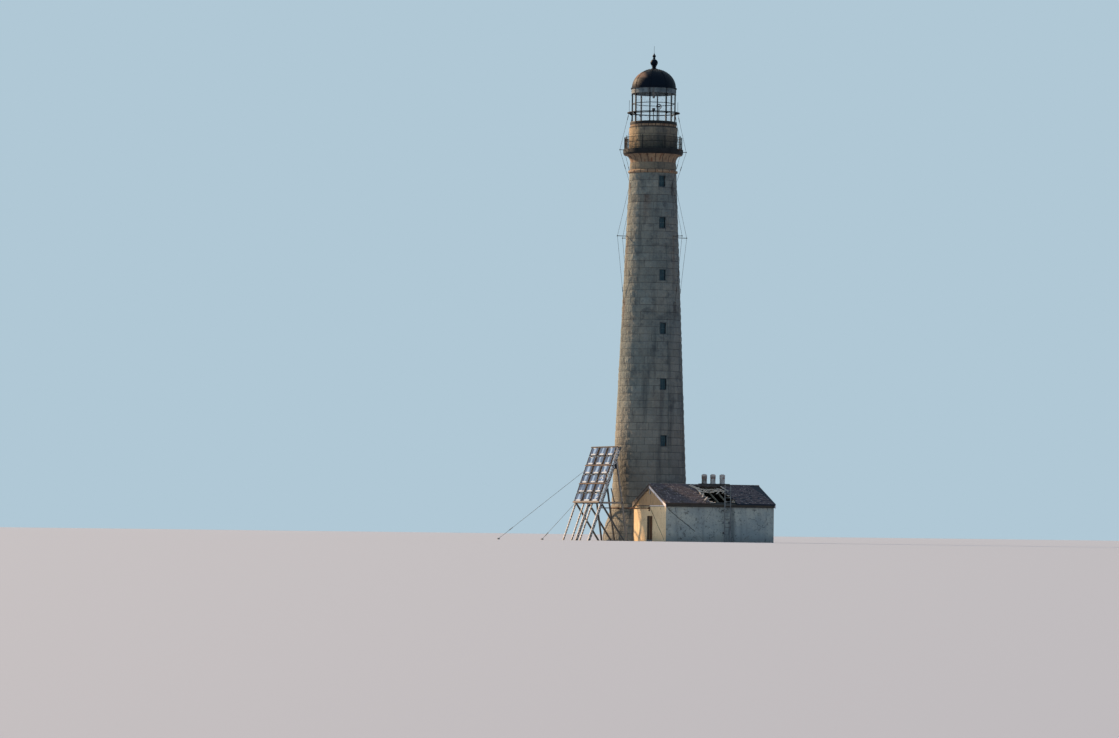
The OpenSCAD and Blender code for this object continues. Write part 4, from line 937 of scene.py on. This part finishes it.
torn_wood = wood_finish("torn_laths", tint(250, 230, 204), tint(216, 190, 156), 0, 0.3)
laths = bmesh.new()
fallen = [(0.62, 0.34, 0.30, 0.20), (0.74, 0.52, 0.34, -0.10), (0.80, 0.70, 0.30, 0.24),
          (0.95, 0.60, 0.30, -0.22), (1.05, 0.72, 0.34, 0.16), (1.12, 0.60, 0.26, 0.30),
          (1.24, 0.68, 0.34, -0.18), (1.36, 0.58, 0.30, 0.20), (1.46, 0.72, 0.28, -0.26),
          (1.55, 0.56, 0.30, 0.14), (1.66, 0.46, 0.26, 0.34), (1.70, 0.70, 0.20, -0.16),
          (0.70, 0.42, 0.26, 0.06), (0.92, 0.48, 0.28, 0.12), (1.14, 0.50, 0.30, -0.08),
          (1.30, 0.46, 0.26, 0.10), (1.48, 0.48, 0.26, -0.12), (1.60, 0.62, 0.24, 0.10),
          (0.84, 0.60, 0.22, -0.16), (1.40, 0.64, 0.26, 0.04)]
lath_up = (0, -0.4, 1)
for x, down, reach, dip in fallen:
    bar(laths, slope_place(-1, x - reach / 2, down - dip / 2, -0.030),
        slope_place(-1, x + reach / 2, down + dip / 2, 0.006), 0.034, 0.010, lath_up)
for k in range(15):
    down = 0.28 + k * 0.105
    left, right = along_line(left_edge, down), along_line(right_edge, down)
    reach = 0.05 + 0.22 * chance.random()
    tilt = 0.05 * (chance.random() - 0.5)
    bar(laths, slope_place(-1, left - 0.16, down, -0.04),
        slope_place(-1, left + reach, down + tilt, -0.02 + tilt), 0.045, 0.012, lath_up)
    if k % 2:
        reach = 0.04 + 0.14 * chance.random()
        bar(laths, slope_place(-1, right + 0.14, down, -0.04),
            slope_place(-1, right - reach, down - tilt, -0.03), 0.045, 0.012, lath_up)
leaning = [(0.36, 0.16, 0.60, 0.44, 0.02), (0.44, 0.10, 0.72, 0.52, 0.03), (0.52, 0.30, 0.66, 0.78, 0.02),
           (0.60, 0.62, 0.54, 1.02, 0.03), (0.68, 0.95, 0.50, 1.30, 0.02), (0.72, 1.30, 0.46, 1.62, 0.03),
           (1.76, 0.22, 1.90, 0.66, 0.02)]
for x0, down0, x1, down1, lift in leaning:
    bar(laths, slope_place(-1, x0, down0, lift), slope_place(-1, x1, down1, lift * 0.6), 0.052, 0.012,
        lath_up)
fix(laths, "torn_laths", torn_wood)


# Ridge stacks and wall ladder: three sheet-metal vent stacks with bands stand on the ridge curb.
# The steel ladder stands off the long wall on four ties and runs over the eave.
stack_steel = Finish("stack_steel", Metallic=0.2, Roughness=0.6)
fine = stack_steel.noise(20, 5)
wide = stack_steel.noise(3.4, 4, shift=5)
soot = stack_steel.fade(wide + (1.6 - stack_steel.x) * 0.25, 0.42, 0.66)
colour = stack_steel.blend(soot, tint(186, 184, 178), tint(106, 96, 86))
rusty = stack_steel.fade(abs(stack_steel.z - 2.60), 0.05, 0.01) * stack_steel.fade(wide, 0.42, 0.56)
colour = stack_steel.blend(rusty * 0.8, colour, tint(134, 86, 64))
colour = stack_steel.blend(stack_steel.fade(stack_steel.z, 2.665, 2.685) * 0.8, colour, tint(206, 190, 176))
stack_steel.feed(Base_Color=stack_steel.shade(colour, 0.75 + fine * 0.5)).relief(fine, 0.003)
stack_steel.coat("vent_stacks")
stack_bands = bmesh.new()
stack_rings = [(0.006, 0.128, 0.012), (0.060, 0.110, 0.016), (0.150, 0.110, 0.010), (0.300, 0.117, 0.012),
               (0.346, 0.118, 0.012)]
for place in (1.110, 1.495, 1.915):
    base = Vector((place, ridge_y, ridge_z + 0.040))
    for z, radius, height in stack_rings:
        tube(stack_bands, base + Vector((0, 0, z - height / 2)), base + Vector((0, 0, z + height / 2)),
             radius, 24)
    for k in range(8):
        out = around(k * math.pi / 4, 0.109, 0)
        bar(stack_bands, base + out + Vector((0, 0, 0.07)), base + out + Vector((0, 0, 0.145)), 0.012,
            0.004, out)
fix(stack_bands, "stack_bands", stack_steel)
galvanised.coat("wall_ladder")
ladder_plates = bmesh.new()
for side in (-1, 1):
    for share in (0.25, 0.55):
        x, z = 1.370 + side * 0.125, 1.425 * share + 0.0075
        slab(ladder_plates, (x - 0.035, -4.708, z - 0.045), (x + 0.035, -4.700, z + 0.045))
        for dz in (-0.03, 0.03):
            tube(ladder_plates, (x, -4.714, z + dz), (x, -4.706, z + dz), 0.008, 6)
fix(ladder_plates, "ladder_wall_plates", galvanised)


# House door: a brown ledged leaf of upright boards on two strap hinges, opening inward, in a
# painted frame. The boards, ledges and nails are on the outer face and swing with the leaf.
door_wood = wood_finish("brown_door_boards", tint(116, 78, 50), tint(80, 52, 34), 2)
door_wood.coat("door_leaf")
black_iron.coat("door_furniture")
leaf_low, leaf_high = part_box("door_leaf")
door_boards = bmesh.new()
board_count = 5
board = (leaf_high.y - leaf_low.y) / board_count
for k in range(board_count):
    y = leaf_low.y + board * k
    slab(door_boards, (leaf_low.x - 0.006, y + 0.003, leaf_low.z + 0.004),
         (leaf_low.x + 0.001, y + board - 0.003, leaf_high.z - 0.004))
for z in (0.16, 0.50, 0.84):
    level = leaf_low.z + (leaf_high.z - leaf_low.z) * z
    slab(door_boards, (leaf_low.x - 0.011, leaf_low.y + 0.02, level - 0.03),
         (leaf_low.x - 0.005, leaf_high.y - 0.02, level + 0.03))
    for k in range(board_count):
        for dy in (0.3, 0.7):
            y = leaf_low.y + board * (k + dy)
            tube(door_boards, (leaf_low.x - 0.0125, y, level), (leaf_low.x - 0.010, y, level), 0.0045, 6)
fix(door_boards, "door_boards", door_wood, "house_door")


# Cable pipe: rusty iron pipe from the rack round the tower's foot to the box over the door. Clips
# hold it to the tower, and the box has a cover with a screw at each corner.
pipe_iron = iron_finish("rusty_pipe", tint(84, 62, 50), 0.30, 0.7)
pipe_iron.coat("cable_conduit")
pipe_clips = bmesh.new()
pipe_z = 1.350
for degrees in (170, 195, 220):
    a = math.radians(degrees)
    out = around(a, 1, 0)
    centre = out * (face_radius(1.525) + 0.075) + Vector((0, 0, pipe_z))
    bar(pipe_clips, centre - Vector((0, 0, 0.027)), centre + Vector((0, 0, 0.027)), 0.05, 0.052, out)
slab(pipe_clips, (-1.367, ridge_y - 0.036, pipe_z - 0.036), (-1.358, ridge_y + 0.036, pipe_z + 0.036))
for dy in (-0.028, 0.028):
    for dz in (-0.028, 0.028):
        tube(pipe_clips, (-1.371, ridge_y + dy, pipe_z + dz), (-1.366, ridge_y + dy, pipe_z + dz), 0.005, 6)
fix(pipe_clips, "cable_pipe_clips", pipe_iron)


# Solar rack: painted lattice channels carry wooden rails, steel stringers and three columns of
# panels. Lacing bars run in zigzags along the legs, and the panels have frames and end plates.
rack_steel = galvanised_finish("rack_steel", tint(84, 80, 76), 0.16)
rack_steel.coat("rack_frames", "rack_mid_legs", "rack_stringers")
rail_wood = wood_finish("rail_paint", tint(104, 82, 68), tint(74, 58, 50), 1)
beam_wood = wood_finish("beam_paint", tint(132, 122, 112), tint(96, 88, 80), 1)
dark_wood = wood_finish("top_rail_paint", tint(56, 50, 48), tint(40, 36, 36), 1)
rail_wood.coat("rack_rails")
pale_steel = Finish("lacing_paint", Metallic=0.0, Specular_IOR_Level=0.3)
flakes = pale_steel.noise(9, 5)
pale_paint = pale_steel.blend(pale_steel.fade(flakes, 0.50, 0.68), tint(226, 220, 210), tint(134, 118, 104))
pale_steel.feed(Base_Color=pale_paint, Roughness=0.5 + flakes * 0.3)
rack_x, rack_h, rack_lean = -3.620, 3.850, 1.350
rear_x, rear_h = -1.880, 3.450
rear_lean = rear_x - rack_x - rack_lean * rear_h / rack_h
platform_z = 1.550
near_y, middle_y, far_y = -2.100, -0.775, 0.550
mid_leg_ys = (-1.217, -0.333)
bar_w, main_leg_d, brace_d = 0.050, 0.105, 0.068
lean = math.atan2(rack_lean, rack_h)
leg_l = math.hypot(rack_lean, rack_h)


def rack_place(y, up, out):
    """A point by the rack's sloping front: up the legs, and out towards the front."""
    return Vector((rack_x + up * math.sin(lean) - out * math.cos(lean), y,
                   up * math.cos(lean) + out * math.sin(lean)))


def front_x(z):
    """Where the front legs' line stands at a height."""
    return rack_x + rack_lean * z / rack_h


def back_x(z):
    """Where the rear legs' line stands at a height."""
    return rear_x - rear_lean * z / rear_h


def lace(mesh, start, end, across, width, step, thick=0.006):
    """Zigzag lacing on a bar's face between two points; across points from edge to edge."""
    start, end, across = Vector(start), Vector(end), Vector(across).normalized()
    along = (end - start).normalized()
    face = along.cross(across)
    count = int((end - start).length / step)
    for k in range(count):
        side = 1 if k % 2 else -1
        a = start + along * step * k - across * width / 2 * side
        b = start + along * step * (k + 1) + across * width / 2 * side
        bar(mesh, a, b, 0.026, thick, face)


def batten(mesh, start, end, across, width, step, thick=0.006):
    """Flat plates across a bar's face, as long as the gaps between them."""
    start, end, across = Vector(start), Vector(end), Vector(across).normalized()
    along = (end - start).normalized()
    for k in range(int((end - start).length / step)):
        foot = start + along * step * (k + 0.25)
        bar(mesh, foot, foot + along * step * 0.5, width, thick, along.cross(across))


lacing = bmesh.new()
band = 0.117
slope_across = (math.cos(lean), 0, -math.sin(lean))
face_gap = bar_w / 2 + 0.003
for y in (far_y,) + mid_leg_ys:
    for side in (-1, 1):
        side_y = y + side * face_gap
        batten(lacing, rack_place(side_y, 0.1, -bar_w / 2), rack_place(side_y, leg_l - 0.05, -bar_w / 2),
               slope_across, bar_w * 0.96, band)
    for out in (0.003, -bar_w - 0.003):
        batten(lacing, rack_place(y, 0.1, out), rack_place(y, leg_l - 0.05, out), (0, 1, 0), bar_w * 0.96,
               band)
for y in (near_y, middle_y):
    for side in (-1, 1):
        side_y = y + side * face_gap
        lace(lacing, rack_place(side_y, 0.1, -main_leg_d / 2),
             rack_place(side_y, leg_l - 0.05, -main_leg_d / 2), slope_across, main_leg_d * 0.76, 0.11)
        bar(lacing, rack_place(side_y, 0.06, -0.012), rack_place(side_y, leg_l - 0.03, -0.012), 0.024,
            0.006, (0, 1, 0))
    lace(lacing, rack_place(y, 0.1, 0.003), rack_place(y, leg_l - 0.05, 0.003), (0, 1, 0), bar_w * 0.8,
         0.095)
side_y = near_y - face_gap
up_first = platform_z / math.cos(lean) + 0.06
for step in range(int((leg_l - up_first) / 0.12)):
    low_up = up_first + 0.12 * step
    ends = (0.085, 0.005) if step % 2 else (0.005, 0.085)
    bar(lacing, rack_place(side_y - 0.008, low_up, ends[0]),
        rack_place(side_y - 0.008, low_up + 0.12, ends[1]), 0.026, 0.006, (0, 1, 0))
bar(lacing, rack_place(side_y - 0.014, up_first - 0.1, 0.080),
    rack_place(side_y - 0.014, leg_l - 0.02, 0.080), 0.022, 0.006, (0, 1, 0))
rear_along = Vector((-rear_lean, 0, rear_h)).normalized()
rear_low = Vector((rear_x, near_y - face_gap, 0)) + rear_along * 0.05
rear_high = Vector((rear_x - rear_lean, near_y - face_gap, rear_h)) - rear_along * 0.2
bands = bmesh.new()
bar(bands, rear_low, rear_high, brace_d * 0.8, 0.006, (0, 1, 0))
bar(bands, (front_x(platform_z) + 0.05, near_y - face_gap, platform_z),
    (back_x(platform_z) + 0.03, near_y - face_gap, platform_z), brace_d * 0.8, 0.006, (0, 1, 0))
band_paint = chipped_paint("rack_band_paint", tint(158, 146, 132), tint(158, 146, 132),
                           lambda paint: paint.fade(paint.z, 1, 2))
fix(bands, "rack_side_bands", band_paint)
gusset = bmesh.new()
gusset_z = 2.930
gusset_places = [(-2.430, 3.400), (front_x(gusset_z) + 0.02, gusset_z), (back_x(gusset_z), gusset_z)]
front_face = [gusset.verts.new((x, near_y - face_gap + 0.001, z)) for x, z in gusset_places]
back_face = [gusset.verts.new((x, near_y - face_gap + 0.008, z)) for x, z in gusset_places]
gusset.faces.new(front_face)
gusset.faces.new(back_face)
for k in range(3):
    gusset.faces.new((front_face[k], front_face[k - 1], back_face[k - 1], back_face[k]))
bmesh.ops.recalc_face_normals(gusset, faces=gusset.faces[:])
fix(gusset, "rack_gusset", black_iron)
fix(lacing, "rack_lacing", pale_steel)

rail_first = platform_z / math.cos(lean)
rail_last = leg_l - 0.040
row_pitch = (rail_last - rail_first) / 6
third = (far_y - near_y) / 3
column_ys = [near_y + third * (k + 0.5) for k in range(3)]
panel_w, panel_l = 0.720, 0.350
cells = Finish("solar_cells", IOR=1.25, Specular_IOR_Level=0.3)
along_up = (cells.x - rack_x) * math.sin(lean) + cells.z * math.cos(lean)
over = ((cells.y - near_y) * (1 / third)) % 1
across_lines = cells.fade(abs((cells.y * 16.67) % 1 - 0.5), 0.44, 0.48)
grid = across_lines.or_(cells.fade(abs((along_up * 15.4) % 1 - 0.5), 0.44, 0.48))
clouds = cells.noise(1.7, 4)
gleam = cells.noise(2.6, 3, (1, 1.6, 0.5), 7)
# Painted reflection: a pale blue streak of sky glare down the middle of each column of panels.
painted_glare_streak = cells.fade(abs(over - 0.5) + (gleam - 0.5) * 0.5, 0.17, 0.05)
grime = cells.noise(7, 5, shift=4)
colour = cells.blend(cells.fade(clouds, 0.35, 0.65), tint(40, 66, 98), tint(64, 94, 128))
colour = cells.blend(painted_glare_streak * 0.9, colour, tint(130, 166, 204))
colour = cells.blend(grid * 0.16, colour, tint(122, 130, 138))
colour = cells.blend(cells.fade(grime, 0.56, 0.75) * 0.4, colour, tint(96, 100, 102))
cells.feed(Base_Color=colour, Roughness=0.78 + cells.fade(grime, 0.45, 0.7) * 0.2)
cells.coat("solar_panels")

panel_frames = bmesh.new()
end_plates = bmesh.new()
face_out = 0.040 + 0.030 + 0.025
slope_out = (-math.cos(lean), 0, math.sin(lean))
def panel_bar(mesh, ends, ups, out, width, depth):
    """A bar on the panels' face from (y, up) to (y, up), laid flat on the slope."""
    bar(mesh, rack_place(ends[0], ups[0], out), rack_place(ends[1], ups[1], out), width, depth, slope_out)


for y in column_ys:
    for k in range(6):
        up = rail_first + row_pitch * (k + 0.5)
        low_up, high_up = up - panel_l / 2, up + panel_l / 2
        for level in (low_up, high_up):
            panel_bar(panel_frames, (y - panel_w / 2, y + panel_w / 2), (level, level), face_out - 0.012,
                      0.024, 0.034)
        for side in (-1, 1):
            edge_y = y + side * (panel_w / 2 + 0.012)
            panel_bar(panel_frames, (edge_y, edge_y), (low_up - 0.012, high_up + 0.012),
                      face_out - 0.016, 0.070, 0.044)
        plate_y, plate_half = y - 0.06 + 0.05 * chance.random(), 0.20 + 0.06 * chance.random()
        plate_up = low_up + 0.045 + 0.01 * chance.random()
        panel_bar(end_plates, (plate_y - plate_half, plate_y + plate_half), (plate_up, plate_up),
                  face_out + 0.006, 0.062, 0.010)
        if chance.random() < 0.35:
            panel_bar(end_plates, (y - 0.05, y + 0.16), (high_up - 0.03, high_up - 0.03),
                      face_out + 0.005, 0.035, 0.008)
frame_steel = Finish("panel_frame_paint", Metallic=0.0, Specular_IOR_Level=0.1)
flakes = frame_steel.noise(14, 4)
frame_paint = frame_steel.blend(frame_steel.fade(flakes, 0.56, 0.66), tint(34, 32, 34), tint(150, 146, 142))
frame_steel.feed(Base_Color=frame_paint, Roughness=0.75 + flakes * 0.2)
fix(panel_frames, "panel_frames", frame_steel)
plate_paint = Finish("white_plate_paint", Metallic=0.0, Specular_IOR_Level=0.15)
flakes = plate_paint.noise(12, 4)
white = plate_paint.blend(plate_paint.fade(flakes, 0.56, 0.70), tint(176, 186, 194), tint(112, 108, 106))
plate_paint.feed(Base_Color=white, Roughness=0.7 + flakes * 0.25)
fix(end_plates, "panel_end_plates", plate_paint)

rail_caps = [("rail_cap_foot", 0, 0.066, beam_wood), ("rail_cap_low", 2, 0.034, rail_wood),
             ("rail_cap_high", 4, 0.034, rail_wood), ("rail_cap_top", 6, 0.044, dark_wood)]
for name, level, tall, finish in rail_caps:
    rail_cap = bmesh.new()
    up = rail_first + row_pitch * level
    panel_bar(rail_cap, (near_y - 0.05, far_y + 0.05), (up, up), face_out - 0.004, tall, 0.030)
    fix(rail_cap, name, finish)

broken = bmesh.new()
shards = [(2.62, -1.84, -1.64, 0.05), (2.76, -1.70, -1.50, -0.05), (2.92, -1.86, -1.66, 0.05),
          (2.18, -1.80, -1.60, 0.03), (1.86, -1.92, -1.74, -0.03)]
for up, y0, y1, twist in shards:
    bar(broken, rack_place(y0, up, face_out + 0.012), rack_place(y1, up + twist * 2.4, face_out + 0.020),
        0.045, 0.005, slope_out)
fix(broken, "broken_panel_glass", plate_paint)

galvanised.coat("rack_guys")
guy_fittings = bmesh.new()
guy_y = 0.590
for top_z, foot_x in ((2.950, -6.450), (1.550, -4.520)):
    top, foot = Vector((front_x(top_z) + 0.025, guy_y, top_z)), Vector((foot_x, guy_y, 0.030))
    along = (foot - top).normalized()
    centre = top.lerp(foot, 0.86)
    tube(guy_fittings, centre - along * 0.07, centre + along * 0.07, 0.018, 8)
    for place in (centre - along * 0.08, centre + along * 0.08, top + along * 0.05):
        bead(guy_fittings, place, 0.02)
fix(guy_fittings, "guy_turnbuckles", galvanised)


# Setting: a plain pale floor and backdrop, a soft low key lamp from behind on the left, and a cool
# fill, brighter on the left. The camera stands where the photograph was taken from, far off and low.
floor_mesh = bmesh.new()
bmesh.ops.create_grid(floor_mesh, x_segments=1, y_segments=1, size=900)
floor_data = bpy.data.meshes.new("floor")
floor_mesh.to_mesh(floor_data)
floor_mesh.free()
floor = bpy.data.objects.new("floor", floor_data)
bpy.context.scene.collection.objects.link(floor)
floor.location.z = -0.002
pale_floor = Finish("pale_floor", Roughness=1.0)
pale_floor.shader.inputs["Base Color"].default_value = tint(160, 172, 186)
floor_data.materials.append(pale_floor.material)

world = bpy.data.worlds.new("studio")
bpy.context.scene.world = world
world.use_nodes = True
tree = world.node_tree
tree.nodes.clear()
light_path = tree.nodes.new("ShaderNodeLightPath")
seen = tree.nodes.new("ShaderNodeMath")
seen.operation = "MAXIMUM"
tree.links.new(light_path.outputs["Is Camera Ray"], seen.inputs[0])
tree.links.new(light_path.outputs["Is Glossy Ray"], seen.inputs[1])
through = tree.nodes.new("ShaderNodeMath")
through.operation = "MAXIMUM"
tree.links.new(seen.outputs[0], through.inputs[0])
tree.links.new(light_path.outputs["Is Transmission Ray"], through.inputs[1])
fill = tree.nodes.new("ShaderNodeBackground")
place = tree.nodes.new("ShaderNodeTexCoord")
leftward = tree.nodes.new("ShaderNodeVectorMath")
leftward.operation = "DOT_PRODUCT"
leftward.inputs[1].default_value = (-0.95, -0.10, 0.25)
tree.links.new(place.outputs["Generated"], leftward.inputs[0])
share = tree.nodes.new("ShaderNodeMapRange")
share.inputs["From Min"].default_value = -1.0
tree.links.new(leftward.outputs["Value"], share.inputs["Value"])
fill_colour = tree.nodes.new("ShaderNodeMix")
fill_colour.data_type = "RGBA"
fill_colour.inputs[6].default_value = (0.0, 0.03, 0.19, 1.0)
fill_colour.inputs[7].default_value = (0.39, 0.53, 0.70, 1.0)
tree.links.new(share.outputs[0], fill_colour.inputs[0])
tree.links.new(fill_colour.outputs[2], fill.inputs["Color"])
backdrop = tree.nodes.new("ShaderNodeBackground")
backdrop.inputs["Color"].default_value = tint(176, 200, 214)
backdrop.inputs["Strength"].default_value = 1.0
both = tree.nodes.new("ShaderNodeMixShader")
tree.links.new(through.outputs[0], both.inputs[0])
tree.links.new(fill.outputs[0], both.inputs[1])
tree.links.new(backdrop.outputs[0], both.inputs[2])
world_out = tree.nodes.new("ShaderNodeOutputWorld")
tree.links.new(both.outputs[0], world_out.inputs[0])

key_data = bpy.data.lights.new("key", "SUN")
key_data.energy = 7.4
key_data.angle = math.radians(2.5)
key_data.color = (1.0, 0.70, 0.44)
key = bpy.data.objects.new("key", key_data)
bpy.context.scene.collection.objects.link(key)
key_height = math.radians(26)
key_from = Vector((-0.493 * math.cos(key_height), 0.871 * math.cos(key_height), math.sin(key_height)))
key.rotation_euler = key_from.to_track_quat("Z", "Y").to_euler()
key.location = key_from * 60

azimuth = math.radians(-23.5)
distance = 185.0
camera_data = bpy.data.cameras.new("camera")
camera_data.sensor_width = 36.0
photo_w, focal = 1119, 4466
camera_data.lens = focal / photo_w * camera_data.sensor_width
camera_data.clip_end = 3000
camera = bpy.data.objects.new("camera", camera_data)
bpy.context.scene.collection.objects.link(camera)
camera.location = (math.sin(azimuth) * distance, -math.cos(azimuth) * distance, 0.30)
camera.rotation_euler = (math.radians(90 + 2.1), math.radians(-0.70), azimuth + math.radians(1.144))
bpy.context.scene.camera = camera
bpy.context.scene.view_settings.view_transform = "Standard"
